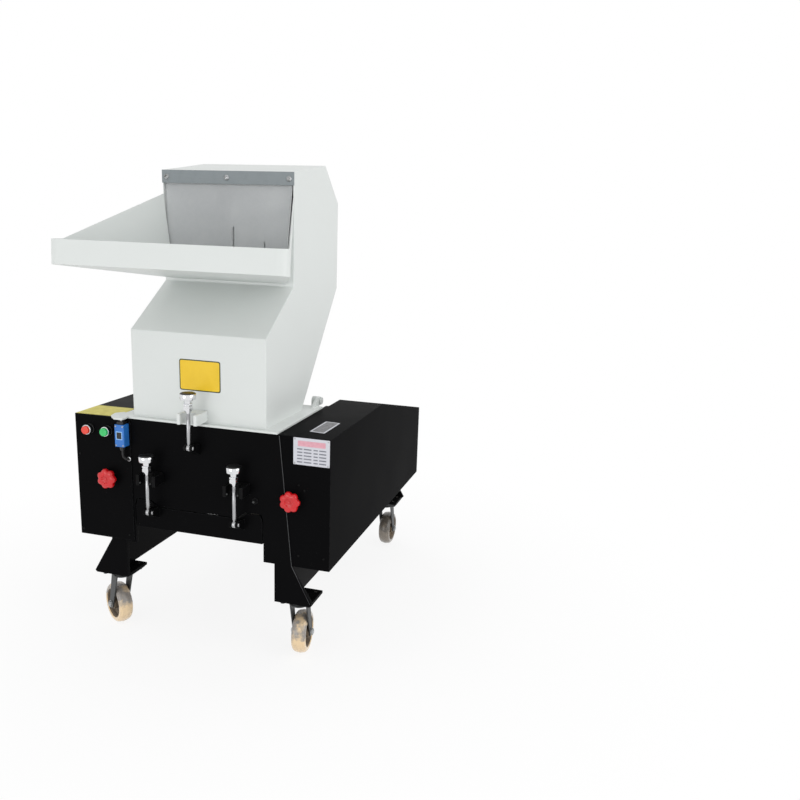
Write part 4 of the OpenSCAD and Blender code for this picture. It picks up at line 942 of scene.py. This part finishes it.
star_head = [
    (0.05, 27.6), (8, 27.8), (11.2, 28.6), (12.4, 30.6), (14.5, 31.0), (20, 30.8), (25, 29.6),
    (28.4, 27.2), (29.9, 23.5), (29.9, 19.5), (28.6, 16.2), (25, 14.4), (18, 14.0), (11, 14.0),
]
star_hub = [(11, 14.2), (10.8, 10), (10.6, 2), (10.2, 0.3), (4, 0.3), (4, -8)]
star_insert = [(0.05, 27.9), (4.2, 27.9), (4.8, 28.5), (3.4, 29.2), (0.05, 29.4)]
for name, x, cover in (
    ("star_knob_left", -275, COVER_FRONT), ("star_knob_right", 289, GUARD_FRONT)
):
    seat = cover - 0.3
    moulding = [
        turned_front(star_head, x, STAR_Z, seat, 112, star_wave),
        turned_front(star_hub, x, STAR_Z, seat),
    ]
    piece(name + "_moulding", moulding, knob_red, name, replaces=(name,))
    piece(name + "_insert", [turned_front(star_insert, x, STAR_Z, seat, 32)], knob_red, name)
print("star knobs with", LOBES, "lobes")

# %% [markdown]
# ### Push buttons
#
# A panel push button has a black base ring, a bright bezel and a coloured cap
# that stands a little proud with a soft rim. All are turned.

# %% Push buttons and their collars
BUTTON_Z = -41.0
BUTTONS = {
    "stop_button": (-338, stop_red, "red_plastic"),
    "start_button": (-278, start_green, "green_plastic"),
}
cap = [
    (0.05, 25.4), (6, 25.5), (9, 25.9), (10.4, 26.0), (11.2, 25.6), (11.5, 24.8), (11.5, 8.1),
    (0.05, 8.1),
]
base_ring = [(11.6, 0), (14.5, 0), (14.5, 3.4), (13.9, 4), (11.6, 4)]
bezel = [
    (11.6, 4), (13.4, 4), (13.4, 6), (14.3, 6.6), (14.5, 8), (14.5, 17.6), (14.1, 19.2),
    (13.2, 20), (12.2, 20), (11.7, 19.4), (11.6, 17),
]
for name, (x, material, slot) in BUTTONS.items():
    piece(name + "_cap", [turned_front(cap, x, BUTTON_Z)], material, name, replaces=(name,))
bases, bezels = (
    [turned_front(profile, x, BUTTON_Z) for x, material, slot in BUTTONS.values()]
    for profile in (base_ring, bezel)
)
piece("button_base_rings", bases, black_plastic, "base", replaces=("button_collars",))
piece("button_bezels", bezels, chrome, "base")
print("push buttons", len(BUTTONS))

# %% [markdown]
# ### Limit switch and its lead
#
# The safety switch is a blue moulded box with rounded edges, a dark head that
# holds the plunger, four screws and a small dark field on its face. Its
# black lead leaves below and goes through a metal grommet into the cover.
# The lead is held at both ends, so it is a fixed tube along a bend.

# %% Limit switch
SWITCH_X, SWITCH_Y = -225.0, -15.0
SWITCH_FACE = -29.0


def rounded_box(x0, x1, y0, y1, z0, z1, corner):
    """Box whose upright edges are arcs, carried from the lower to the upper height."""
    outline = rounded([(x0, y0), (x1, y0), (x1, y1), (x0, y1)], corner)
    return plate(outline, z0, z1, "z")


def face_plate(x0, x1, z0, z1, corner, low, high):
    """Upright plate with round corners that faces the front, between two depths."""
    outline = rounded([(z0, x0), (z0, x1), (z1, x1), (z1, x0)], corner)
    return plate(outline, low, high)


case = rounded_box(-240, -210, SWITCH_FACE, -3, -78, -14, 2.5)
piece("limit_switch_case", [case], switch_blue, "base", 1.2, 3, ("limit_switch",))
gland = [
    (3.6, -91), (6.4, -91), (7.2, -90), (7.2, -86), (8, -85.4), (8, -79), (7.6, -78), (3.6, -78),
]
collar = [(4.3, -6.4), (7, -6.4), (7, -5.4), (6.3, -5.0), (4.3, -5.0)]
head = [
    rounded_box(-235.5, -214.5, -24.5, -5, -14.3, -6.2, 3),
    turned(collar, (SWITCH_X, SWITCH_Y, 0), "z", 32),
    turned(gland, (SWITCH_X, SWITCH_Y, 0), "z", 8),
]
piece("limit_switch_head", head, black_plastic, "base", 0.6, 2)
screws = [
    screw_head(x, SWITCH_FACE + 0.1, z, 2.4, 1.0, 0.4 * x)
    for x in (-236.2, -213.8) for z in (-18.5, -73.5)
]
piece("limit_switch_screws", screws, zinc, "base")
surround = face_plate(-235, -215, -57, -33, 1.2, SWITCH_FACE - 0.5, SWITCH_FACE + 0.6)
piece("limit_switch_frame", [surround], switch_light, "base")
field = face_plate(-232.6, -217.4, -54.5, -35.5, 0.8, SWITCH_FACE - 0.8, SWITCH_FACE + 0.4)
piece("limit_switch_field", [field], black_plastic, "base")
print("limit switch screws", len(screws))

# %% Lead and grommet
LEAD_R = 3.5
LEAD_TOP, LEAD_KNEE = -86.0, -103.0
LEAD_SIDE, LEAD_BACK, LEAD_DROP = 12.0, 9.0, 16.0
GROMMET_X, GROMMET_Z = -213, -119


def lead_path():
    """Straight down, then a quarter bend that turns backwards into the cover."""
    a = np.radians(np.linspace(0, 90, 12))
    down = np.array([(SWITCH_X, SWITCH_Y, z) for z in (LEAD_TOP, -95.0, LEAD_KNEE)])
    share = np.sin(a / 2) ** 2 * 2
    bend = np.stack([
        SWITCH_X + LEAD_SIDE * share,
        SWITCH_Y + LEAD_BACK * (1 - np.cos(a)),
        LEAD_KNEE - LEAD_DROP * np.sin(a),
    ], axis=-1)
    last = np.array([(GROMMET_X, COVER_FRONT, GROMMET_Z - 0.5)])
    return np.concatenate([down, bend[1:], last])


piece("switch_lead_sleeve", [swept(lead_path(), LEAD_R, 16)], rubber, "base",
      replaces=("switch_lead",))
grommet = [(4, 0), (7, 0), (7, 1.2), (6.2, 2.6), (4.6, 3), (4, 2.4)]
piece("lead_grommet", [turned_front(grommet, GROMMET_X, GROMMET_Z)], bright_steel, "base")
steps = np.diff(lead_path(), axis=0)
print("lead length", round(float(np.linalg.norm(steps, axis=1).sum())), "mm")

# %% [markdown]
# ### Clamps
#
# Each clamp is a bright swing bolt. Its eye turns on a pin, its upper end is
# threaded, and a chromed knob with a black cap runs on it above a faceted
# collar. The thread is a row of shallow ridges in a turned profile. The pin
# has a domed head on one side and a washer on the other, and each saddle is
# held by two small bolts.

# %% Swing bolts and their knobs
CLAMPS = {
    "hopper_clamp": (0.0, -54.0, 156.0, "hopper_clamp_rod", "hopper_clamp_knob"),
    "left_clamp": (-134.0, -257.0, 169.0, "cradle_clamp_rod_left", "cradle_clamp_knob_left"),
    "right_clamp": (134.0, -257.0, 169.0, "cradle_clamp_rod_right", "cradle_clamp_knob_right"),
}
CLAMP_Y = -38.0
PITCH = 1.75
RIDGE = 0.55
ROD_R = 5.45
THREAD_LENGTH = 62.0
KNOB_SINK = 14.2


def rod_profile(low, plain_top, high):
    """Plain shank, then a thread whose radius swings between two values each pitch."""
    count = int((high - plain_top) / PITCH) * 2
    h = np.linspace(plain_top, high, count)
    r = ROD_R - RIDGE * (np.arange(count) % 2)
    shank = [(0.05, low), (ROD_R * 0.8, low), (ROD_R, low + 1.5), (ROD_R, plain_top)]
    return shank + list(zip(r.tolist(), h.tolist())) + [(0.05, high)]


def swing_bolt(x, pivot, length):
    """Shank with thread above an eye; the eye is a short barrel with rounded ends."""
    top = pivot + length - KNOB_SINK
    profile = rod_profile(pivot + 4, top - THREAD_LENGTH, top)
    half_eye = [(5.05, -5.4), (7.4, -5.4), (8.6, -4.4), (9, -2.6)]
    eye = half_eye + [(r, -h) for r, h in half_eye[::-1]]
    return [turned(profile, (x, CLAMP_Y, 0), "z", 24), turned(eye, (x, CLAMP_Y, pivot), "x", 40)]


RIM = [
    (19.4, -5), (20.4, -3.6), (21.3, -3.4), (22, -4.4), (22, -16.5), (21.2, -18.6),
    (19.4, -19.5), (13, -20.4), (11, -22), (10.4, -30), (9, -32),
]
COLLAR = [
    (9, -31), (12.2, -31), (12.9, -32.4), (12.9, -36), (11.8, -37), (11.8, -39),
    (12.9, -40), (12.9, -47), (11.6, -50), (7, -57), (5.6, -59),
]
CAP = [
    (0.05, 0), (9, -0.2), (15, -0.6), (19, -1.4), (20.6, -2.4), (20.9, -3.6), (19.6, -4.6),
    (19.5, -8), (0.05, -8),
]
for title, (x, pivot, length, rod, knob) in CLAMPS.items():
    piece(title + "_swing_bolt", swing_bolt(x, pivot, length), bright_steel, BODY_OF[rod],
          replaces=(rod,))
    top = (x, CLAMP_Y, pivot + length)
    piece(title + "_knob_rim", [turned(RIM, top, "z", 72)], chrome, BODY_OF[knob],
          replaces=(knob,))
    piece(title + "_knob_collar", [turned(COLLAR, top, "z", 8)], chrome, BODY_OF[knob], 0.5, 2)
    piece(title + "_knob_cap", [turned(CAP, top, "z", 56)], black_plastic, BODY_OF[knob])
print("clamps", len(CLAMPS))

# %% Pin ends and saddle bolts
PIN_OWNER = {"hopper_clamp": "base", "left_clamp": "cradle", "right_clamp": "cradle"}
SADDLE_X, SADDLE_BOLT_X, SADDLE_Z, SADDLE_FRONT = 134, 16, -168, -48
pin_head = [(0.05, 15.4), (3, 15.2), (4.8, 14.4), (5.6, 13), (5.6, 11.9), (0.05, 11.9)]
pin_clip = [(0.05, -14), (3.8, -14), (4.2, -13.4), (6.2, -13.2), (6.2, -11.9), (0.05, -11.9)]
for title, clamp in CLAMPS.items():
    x, pivot = clamp[:2]
    ends = [turned(profile, (x, CLAMP_Y, pivot), "x", 28) for profile in (pin_head, pin_clip)]
    piece(title + "_pin_ends", ends, bright_steel, PIN_OWNER[title])
saddle_bolt = [(0.05, 2.8), (1.4, 2.6), (2.1, 1.9), (2.2, 0.6), (2.2, -0.4)]
saddle_bolts = [
    turned_front(saddle_bolt, x + side * SADDLE_BOLT_X, SADDLE_Z, SADDLE_FRONT, 20)
    for x in (-SADDLE_X, SADDLE_X) for side in (-1, 1)
]
piece("saddle_bolts", saddle_bolts, fork_paint, "base")
print("saddle bolts", len(saddle_bolts))

# %% [markdown]
# ### Casters
#
# A swivel caster is a crown ring under the top plate, a pressed fork with a
# slant to the back, an axle with nuts, and a wheel. The wheel has a
# polyurethane tread cast on a core. The front ones stand turned, so each part
# is drawn straight ahead and then turned about its own swivel axis.

# %% Turning a part about a swivel axis
CASTERS = {
    "front_left": (-290.0, 52.0, 58.0),
    "front_right": (290.0, 52.0, 8.0),
    "rear_left": (-290.0, 918.0, 0.0),
    "rear_right": (290.0, 918.0, 0.0),
}
WHEEL_R = 62.5
WHEEL_Z = WHEEL_R - BASE_TOP
TRAIL = 38.0


def swivelled(part, x, y, degrees):
    """Points turned about the upright line through (x, y) by the given angle."""
    pts, part_faces = part
    pivot = spot(x, y, 0.0)
    c, s = math.cos(math.radians(degrees)), math.sin(math.radians(degrees))
    dx, dy = pts[:, 0] - pivot[0], pts[:, 1] - pivot[1]
    moved = np.stack([pivot[0] + c * dx - s * dy, pivot[1] + s * dx + c * dy, pts[:, 2]], axis=-1)
    return moved, part_faces


print("casters", len(CASTERS))

# %% Forks
CROWN_TOP = 174.7
CROWN_Z = CROWN_TOP - BASE_TOP
BOSS_R = 13.0
LEG_IN, LEG_OUT = 22, 26


def fork_leg(x, y, side):
    """Leg plate: wide at the crown, slanting back to a round boss about the axle."""
    a = np.radians(np.linspace(-170, -10, 18))
    boss = np.stack([y + TRAIL + BOSS_R * np.cos(a), WHEEL_Z + BOSS_R * np.sin(a)], axis=-1)
    top = np.array([
        (y + 24, CROWN_Z - 6), (y + 21, CROWN_Z - 1.5), (y + 14, CROWN_Z), (y - 10, CROWN_Z),
        (y - 12, CROWN_Z - 2), (y - 12, CROWN_Z - 8),
    ])
    low, high = sorted((side * LEG_IN, side * LEG_OUT))
    return plate(np.concatenate([boss, top]), low, high, "x", (x, 0, 0))


CROWN = [(0.05, 0), (26, 0), (29, -0.8), (30, -2.7), (30, -5.1), (29, -6), (0.05, -6)]
NUT = [(6, 26.2), (8.2, 26.2), (10, 27.2), (10, 31.5), (8.4, 32.4), (6.1, 32.4)]
AXLE_END = [(0.05, 34), (5, 34), (5.9, 33.2), (6, 26)]
WASHER = [(6, 26), (11.5, 26), (11.5, 27.2), (6, 27.2)]
for name, (x, y, degrees) in CASTERS.items():
    fork_node = "caster_fork_" + name
    fork = [turned(CROWN, (x, y, CROWN_Z), "z", 48)] + [fork_leg(x, y, side) for side in (-1, 1)]
    piece(fork_node + "_pressing", [swivelled(part, x, y, degrees) for part in fork], fork_paint,
          BODY_OF[fork_node], 1.2, 3, (fork_node,))
    nuts = [
        turned([(r, way * h) for r, h in profile], (x, y + TRAIL, WHEEL_Z), "x", sides)
        for way in (-1, 1)
        for profile, sides in ((NUT, 6), (AXLE_END, 24), (WASHER, 32))
    ]
    piece("caster_axle_" + name, [swivelled(part, x, y, degrees) for part in nuts], zinc,
          BODY_OF[fork_node])
print("fork legs end at", WHEEL_Z - BOSS_R + BASE_TOP, "mm above the floor")

# %% Wheels
TREAD_EDGE_R, SHOULDER_R, CROWN_R = 49.5, 11.6, 61.1
TREAD_HALF, SHOULDER_W = 21.0, 13.0


def mirrored(half):
    """Closed profile from its right half: the same points follow with the sign turned."""
    return half + [(r, -w) for r, w in half[::-1]] + half[:1]


def tread_profile():
    """Quarter-ellipse shoulders and a slightly domed crown, (radius, place on the axle)."""
    a = np.radians(np.linspace(0, 90, 9))
    r_edge = TREAD_EDGE_R + SHOULDER_R * np.sin(a)
    w_edge = TREAD_HALF - SHOULDER_W * (1 - np.cos(a))
    crown = [(CROWN_R + 1.4 * math.cos(w / 8 * math.pi / 2), w) for w in (6, 3, 0, -3, -6)]
    right = [(45, 19.6), (46.5, 21), *zip(r_edge.tolist(), w_edge.tolist())]
    left = [(r, -w) for r, w in right[::-1]]
    return right + crown + left + right[:1]


CORE = mirrored([
    (6.1, 21.7), (15.5, 21.7), (17, 20.4), (17.6, 12), (20, 8.4), (34, 7.4), (38.5, 9),
    (41, 16), (42.5, 18.4), (46.4, 18.6),
])
for name, (x, y, degrees) in CASTERS.items():
    node = "caster_wheel_" + name
    centre = (x, y + TRAIL, WHEEL_Z)
    tread, core = (
        swivelled(turned(profile, centre, "x", 72), x, y, degrees)
        for profile in (tread_profile(), CORE)
    )
    tread_material = dark_tread if name.startswith("rear") else wheel_tread
    piece("caster_tread_" + name, [tread], tread_material, BODY_OF[node], replaces=(node,))
    piece("caster_core_" + name, [core], wheel_core, BODY_OF[node])
print("wheel profile points", len(tread_profile()), "and", len(CORE))

# %% [markdown]
# ### Motor
#
# The motor is a finned aluminium barrel with two end shields, a pressed fan
# cowl, a terminal box and feet. The solid has all of these forms. It gets
# rounded edges, and two things are added: the rings of the cowl's grille and
# the four screws in the lid of the terminal box.

# %% Motor
MOTOR_Y, MOTOR_Z = 790.0, -270.0
COWL_END = -160.0
RING_WIDTH, RING_HEIGHT = 3.0, 1.2
LID_X, LID_Y = (-38, 38), (752, 828)
LID_TOP = MOTOR_Z + 117.6


def grille_ring(r):
    """Flat ring about the motor's axis, on the end of the cowl."""
    wide, high = r + RING_WIDTH, COWL_END + RING_HEIGHT
    profile = [(r, COWL_END), (wide, COWL_END), (wide, high), (r, high), (r, COWL_END)]
    return turned(profile, (0, MOTOR_Y, MOTOR_Z), "x", 72)


softened("motor", motor_paint, "base", 0.7, 2)
grille = [grille_ring(r) for r in (24, 36, 48, 60, 72)]
piece("motor_cowl_grille", grille, black_plastic, "base")
lid_screw = [(0.05, -0.5), (2, -0.6), (4, -1.3), (4.6, -2.6), (4.6, -4)]
lid_screws = [turned(lid_screw, (x, y, LID_TOP), "z", 24) for x in LID_X for y in LID_Y]
piece("motor_lid_screws", lid_screws, zinc, "base")
print("motor grille rings", len(grille))

# %% [markdown]
# ### Edge line, stop bolt and small screws
#
# The right edge of the front plate shows a thin grey line: a painted highlight
# where light catches its cut face. A bolt sits beside the right clamp. Two small
# screws sit above the right star knob, and five more near the edges of the covers.
# They are small, but they are what breaks up the large black sheets.

# %% Small things on the front
EDGE_LINE = np.array([(249.6, 0.8, -3), (286.6, 0.8, -374), (342.4, 0.8, -480)])
STOP_X, STOP_Z, STOP_FACE = 178, -196, 0.2
GUARD_SCREWS = ((306, -136), (322, -150), (306, -340), (380, -340))
BOX_SCREWS = ((-376, -352), (-222, -352), (-376, -120))
# Painted highlight: a grey strip where light catches the front plate's cut edge
piece("front_plate_edge_line", [swept(EDGE_LINE, 1.0, 8)], painted_edge_highlight, "base")
bolt = [(0.05, 9.4), (5.2, 9.4), (6.6, 8.6), (6.9, 7), (6.9, 2.6), (9.6, 2.2), (9.8, 0)]
tip = [(0.05, 13), (2.6, 12.8), (3.4, 12), (3.5, 9.2), (0.05, 9.2)]
bolt_head = turned_front(bolt, STOP_X, STOP_Z, STOP_FACE, 6)
piece("stop_bolt", [bolt_head], fitting_paint, "base", 0.3, 2)
bolt_tip = turned_front(tip, STOP_X, STOP_Z, STOP_FACE, 24)
piece("stop_bolt_tip", [bolt_tip], cast_iron, "base")
cover_screw = [(0.05, 2.6), (1.5, 2.4), (2.9, 1.7), (3.6, 0.6), (3.7, -0.4)]
on_guard = [turned_front(cover_screw, x, z, GUARD_FRONT, 24) for x, z in GUARD_SCREWS]
piece("guard_front_screws", on_guard, fitting_paint, "base")
on_box = [turned_front(cover_screw, x, z, COVER_FRONT, 24) for x, z in BOX_SCREWS]
piece("box_cover_screws", on_box, fitting_paint, "base")
print("small screws on the covers", len(on_guard) + len(on_box))

# %% [markdown]
# ### Rest buffers
#
# Two rubber buffers sit on the slanted back of the hopper, where it comes to
# rest when it is tipped. Each is a turned disc with a rounded rim and a white
# moulded middle, set square to the slant.

# %% Rest buffers on the slanted back
BACK_FOOT = np.array([265.0, FLANGE_TOP])
BACK_FOLD = np.array([555.0, 353.0])
BUFFER_X = (-180, 180)
BUFFER_RISE = 64


def on_back(profile, x):
    """Part turned about z, then tilted so that its axis points out of the slanted back."""
    pts, part_faces = turned(profile, (SHIFT_X, SHIFT_Y, -BASE_TOP), "z", 48)
    run = BACK_FOLD - BACK_FOOT
    slope = math.atan2(run[1], run[0])
    along = (math.cos(slope), math.sin(slope))
    out = (math.sin(slope), -math.cos(slope))
    base = spot(x, BACK_FOOT[0] + BUFFER_RISE / math.tan(slope), BACK_FOOT[1] + BUFFER_RISE)
    y = pts[:, 1] * along[0] + pts[:, 2] * out[0]
    z = pts[:, 1] * along[1] + pts[:, 2] * out[1]
    return np.stack([pts[:, 0] + base[0], y + base[1], z + base[2]], axis=-1), part_faces


ring = [
    (8.4, 0.2), (16.4, 0.2), (17, 1.2), (17, 11), (16, 13.2), (14, 14), (9.6, 14), (8.6, 13),
    (8.4, 0.2),
]
middle = [(0.05, 0.2), (8.3, 0.2), (8.3, 11.4), (7.4, 12.2), (0.05, 12.4)]
rings = [on_back(ring, x) for x in BUFFER_X]
piece("rest_buffer_rings", rings, rubber, "hopper", replaces=("rest_buffers",))
piece("rest_buffer_middles", [on_back(middle, x) for x in BUFFER_X], plate_white, "hopper")
print("rest buffers", len(rings))

# %% [markdown]
# ### Curtain
#
# The curtain that stops flying chips is one clear sheet with three slits. It
# hangs from a hem on two pins. Real sheet is never flat, so its surface is a
# grid with a slow ripple, and the strips between the slits differ slightly.

# %% Clear curtain with slits
CURTAIN_Y = 207.3
CURTAIN_HALF = 200
CURTAIN_LOW = 398.0
HEM_Z = 664.0
SLITS = {-82.0: 468.0, 15.0: 539.0, 112.0: 500.0}
SLIT_HALF = 1.0
STRIP = 97
LEAN_BELOW = 520


def curtain_grid():
    """Ripple y = a sin(kx + mz) growing downwards; the quads of each slit are left out."""
    edges = [x + side * SLIT_HALF for x in SLITS for side in (-1, 1)]
    columns = np.linspace(-CURTAIN_HALF, CURTAIN_HALF, 57)
    rows = np.linspace(CURTAIN_LOW, HEM_Z - 3, 30)
    x_line = np.sort(np.concatenate([columns, edges]))
    z_line = np.sort(np.concatenate([rows, list(SLITS.values())]))
    x, z = np.meshgrid(x_line, z_line, indexing="xy")
    down = np.clip((HEM_Z - z) / (HEM_Z - CURTAIN_LOW), 0, 1)
    ripple = down * 0.45 * np.sin(0.035 * x + 0.02 * z)
    lean = down * 0.4 * np.sin(np.floor((x + 82) / STRIP) * 2.2)
    y = CURTAIN_Y + ripple + np.where(z < LEAN_BELOW, lean, 0)
    middle_x = (x_line[:-1] + x_line[1:]) / 2
    middle_z = (z_line[:-1] + z_line[1:]) / 2
    open_quads = np.zeros((len(middle_z), len(middle_x)), bool)
    for slit_x, slit_top in SLITS.items():
        column = np.abs(middle_x - slit_x) < SLIT_HALF
        open_quads |= column[None, :] & (middle_z < slit_top)[:, None]
    quads = np.array(grid_faces(len(z_line), len(x_line)))
    return spot(x, y, z).reshape(-1, 3), quads[~open_quads.ravel()].tolist()


curtain = piece("curtain_sheet", [curtain_grid()], curtain_clear, "curtain",
                replaces=("curtain",))
solidify(curtain, 2.0, 0.0)
# Clear plastic hardly dims the light that passes, so the sheet casts no shadow
curtain.visible_shadow = False
slit_edges = [
    block((x + side - 0.5, CURTAIN_Y - 0.7, CURTAIN_LOW), (x + side + 0.5, CURTAIN_Y + 0.7, top))
    for x, top in SLITS.items() for side in (-1.4, 1.4)
]
piece("curtain_slit_edges", slit_edges, curtain_edge, "curtain")
hem = [(2.1, -200), (4, -200), (4, 200), (2.1, 200), (2.1, -200)]
hem_axis = (0, CURTAIN_Y, HEM_Z)
piece("curtain_hem", [turned(hem, hem_axis, "x", 24)], curtain_clear, "curtain")
pins = [
    turned([(0.05, a), (2, a), (2, b), (0.05, b)], hem_axis, "x", 20)
    for a, b in ((-202.5, -188), (188, 202.5))
]
piece("curtain_pins", pins, bright_steel, "hopper")
print("curtain slits", len(SLITS))

# %% [markdown]
# ### Bare plates
#
# The machine carries a few plates: a yellow one with a dark border on the
# hopper, one on the control box, a small one on the guard's top and a metal
# one with corner rivets on the guard's front. They are thin plates with
# rounded corners, and they are left bare.

# %% Plates on hopper, box and guard
THIN = 0.5
BAR_ROWS = (-33, -42, -51, -60, -69)
BAR_SPANS = ((301, 316), (320, 342), (348, 360), (364, 384))


def lying_plate(outline, corner, low, high):
    """Level plate with round corners, between two heights."""
    return plate(rounded(outline, corner), low, high, "z")


border = face_plate(-55, 70, 95, 182, 7, 14.6, 15.2)
piece("hopper_plate_border", [border], plate_green, "hopper")
field = face_plate(-52, 67, 98, 179, 5, 14.3, 15.0)
piece("hopper_plate_field", [field], plate_yellow, "hopper")
box_top = [(-385, -2), (-256, 6), (-262, 108), (-386, 104)]
piece("box_plate", [lying_plate(box_top, 3, -0.2, THIN)], plate_yellow_worn, "base")
guard_top = [(311, 65), (356, 60), (358, 182), (313, 186)]
piece("guard_plate_border", [lying_plate(guard_top, 3, -0.2, THIN)], plate_silver, "base")
guard_inner = [(316, 70), (351, 66), (353, 177), (318, 181)]
piece("guard_plate_field", [lying_plate(guard_inner, 2, 0.0, THIN + 0.2)], plate_grey, "base")
piece("rating_plate", [face_plate(290, 394, -77, -2, 2, 2.0, 3.1)], plate_silver, "base")
piece("rating_plate_band", [face_plate(303, 382, -25, -10, 1.5, 1.6, 2.4)], plate_pink, "base")
bars = [
    face_plate(x0, x1, z - 1.7, z + 1.7, 0.4, 1.7, 2.4) for z in BAR_ROWS for x0, x1 in BAR_SPANS
]
piece("rating_plate_bars", bars, plate_ink, "base")
rivet = [(0.05, 1.6), (1.4, 1.4), (2.2, 0.8), (2.5, 0)]
rivets = [turned_front(rivet, x, z, 2.2, 16) for x in (294, 390) for z in (-73, -6)]
piece("rating_plate_rivets", rivets, zinc, "base")
print("bars on the rating plate", len(bars))

# %% [markdown]
# ## Studio
#
# The photograph is a cut-out on white. The floor is a wide pale disc that
# takes the machine's shadow near its middle and turns fully white further
# out, so that floor and background meet without a line.

# %% Floor that keeps the shadow
FLOOR_R = 9.0
FLOOR_RINGS, FLOOR_SIDES = 16, 64
WHITE_NEAR, WHITE_FAR = 0.86, 1.0
FADE_FROM, FADE_TO = 0.6, 1.5


def seen_directly(tree):
    """1 for rays from the camera, a reflection or clear sheet, and 0 for all others."""
    path = add(tree, "ShaderNodeLightPath").outputs
    seen = calc(tree, "ADD", path["Is Camera Ray"], path["Is Glossy Ray"])
    return calc(tree, "ADD", seen, path["Is Transmission Ray"], clamp=True)


def stage_material():
    """Diffuse floor mixed with plain white, more of the white the further from the middle."""
    material = bpy.data.materials.new("stage_floor")
    material.use_nodes = True
    tree = material.node_tree
    surface = tree.nodes["Principled BSDF"]
    surface.inputs["Base Color"].default_value = (0.9, 0.9, 0.9, 1)
    surface.inputs["Roughness"].default_value = 0.7
    surface.inputs["Specular IOR Level"].default_value = 0.1
    white = add(tree, "ShaderNodeEmission", {"Color": (1, 1, 1, 1), "Strength": 1.0}).outputs[0]
    place = add(tree, "ShaderNodeTexCoord").outputs["Object"]
    away = add(tree, "ShaderNodeVectorMath", [(0, place)], operation="LENGTH").outputs["Value"]
    share = ramp(tree, away, FADE_FROM, FADE_TO, WHITE_NEAR, WHITE_FAR)
    factor = calc(tree, "MULTIPLY", seen_directly(tree), share)
    mixed = add(tree, "ShaderNodeMixShader", [(0, factor), (1, surface.outputs[0]), (2, white)])
    tree.links.new(mixed.outputs[0], tree.nodes["Material Output"].inputs["Surface"])
    return material


def floor_disc():
    """Rings of points on the floor; the radius grows with the square of the step."""
    r = FLOOR_R * np.linspace(0.02, 1, FLOOR_RINGS) ** 2
    a = np.linspace(0, 2 * np.pi, FLOOR_SIDES, endpoint=False)
    x, y = np.outer(r, np.cos(a)), np.outer(r, np.sin(a))
    points = np.stack([x, y, np.zeros_like(x)], axis=-1).reshape(-1, 3)
    inner_face = [list(range(FLOOR_SIDES))]
    return points, grid_faces(FLOOR_RINGS, FLOOR_SIDES, round_columns=True) + inner_face


points, faces = floor_disc()
mesh = bpy.data.meshes.new("stage_floor")
mesh.from_pydata(points.tolist(), [], faces)
mesh.materials.append(stage_material())
floor = bpy.data.objects.new("stage_floor", mesh)
bpy.context.collection.objects.link(floor)
print("floor disc", len(mesh.vertices), "points, radius", FLOOR_R, "m")

# %% [markdown]
# ### World and lamps
#
# The world lights everything evenly from all sides, and shows plain white
# to the camera and in reflections. Three large soft lamps do the rest: a key
# low in front on the left, one of like power on the right, and a weak one
# above.

# %% World
WORLD_STRENGTH = 0.85
world = bpy.data.worlds.new("studio")
bpy.context.scene.world = world
world.use_nodes = True
tree = world.node_tree
glow = tree.nodes["Background"]
glow.inputs["Color"].default_value = (1, 1, 1, 1)
glow.inputs["Strength"].default_value = WORLD_STRENGTH
white = add(tree, "ShaderNodeBackground", {"Color": (1, 1, 1, 1), "Strength": 1.0}).outputs[0]
pairs = [(0, seen_directly(tree)), (1, glow.outputs[0]), (2, white)]
both = add(tree, "ShaderNodeMixShader", pairs)
tree.links.new(both.outputs[0], tree.nodes["World Output"].inputs["Surface"])
print("world strength", WORLD_STRENGTH)

# %% Lamps
AIM = Vector((0, 0, 0.7))
LAMPS = {
    "key_lamp": ((-1.2, -4.2, 0.75), 2.0, 29),
    "right_lamp": ((4.0, -1.2, 1.8), 2.4, 33),
    "top_lamp": ((0.6, -0.6, 4.2), 2.6, 7),
}
for name, (place, size, power) in LAMPS.items():
    data = bpy.data.lights.new(name, "AREA")
    data.shape = "SQUARE"
    data.size = size
    data.energy = power
    lamp = bpy.data.objects.new(name, data)
    lamp.location = place
    lamp.rotation_euler = (AIM - Vector(place)).to_track_quat("-Z", "Y").to_euler()
    bpy.context.collection.objects.link(lamp)
print("lamps", len(LAMPS))

# %% [markdown]
# ### Camera
#
# The camera was worked out from the straight edges of base and hopper. It
# stands in front and to the right of the machine, looks 15 degrees to the left
# of straight ahead and 12 degrees down, and leans by two degrees. Its axes are
# built from these three angles.

# %% Camera of the photograph
FOCAL_SHARE = 784.57 / 800.0
SENSOR = 36.0
TURN, DIP, LEAN = 15.1305, 12.4871, 2.0016
CAMERA_PLACE = (1089.53, -1877.73, 557.54)


def camera_axes(turn, dip, lean):
    """Right, up and back directions from heading, downward angle and roll."""
    a, e, r = (math.radians(v) for v in (turn, dip, lean))
    ahead = np.array([-math.sin(a) * math.cos(e), math.cos(a) * math.cos(e), -math.sin(e)])
    right = np.array([math.cos(a), math.sin(a), 0.0])
    up = np.cross(right, ahead)
    rolled_right = right * math.cos(r) + up * math.sin(r)
    rolled_up = up * math.cos(r) - right * math.sin(r)
    return rolled_right, rolled_up, -ahead


data = bpy.data.cameras.new("photo_camera")
data.sensor_width = SENSOR
data.sensor_fit = "HORIZONTAL"
data.lens = SENSOR * FOCAL_SHARE
data.clip_end = 50
camera = bpy.data.objects.new("photo_camera", data)
matrix = np.eye(4)
matrix[:3, :3] = np.stack(camera_axes(TURN, DIP, LEAN), axis=-1)
matrix[:3, 3] = spot(*CAMERA_PLACE)
camera.matrix_world = Matrix(matrix.tolist())
bpy.context.collection.objects.link(camera)
bpy.context.scene.camera = camera
bpy.context.scene.view_settings.view_transform = "Standard"
print("camera lens", round(data.lens, 2), "mm, place", camera.matrix_world.translation)
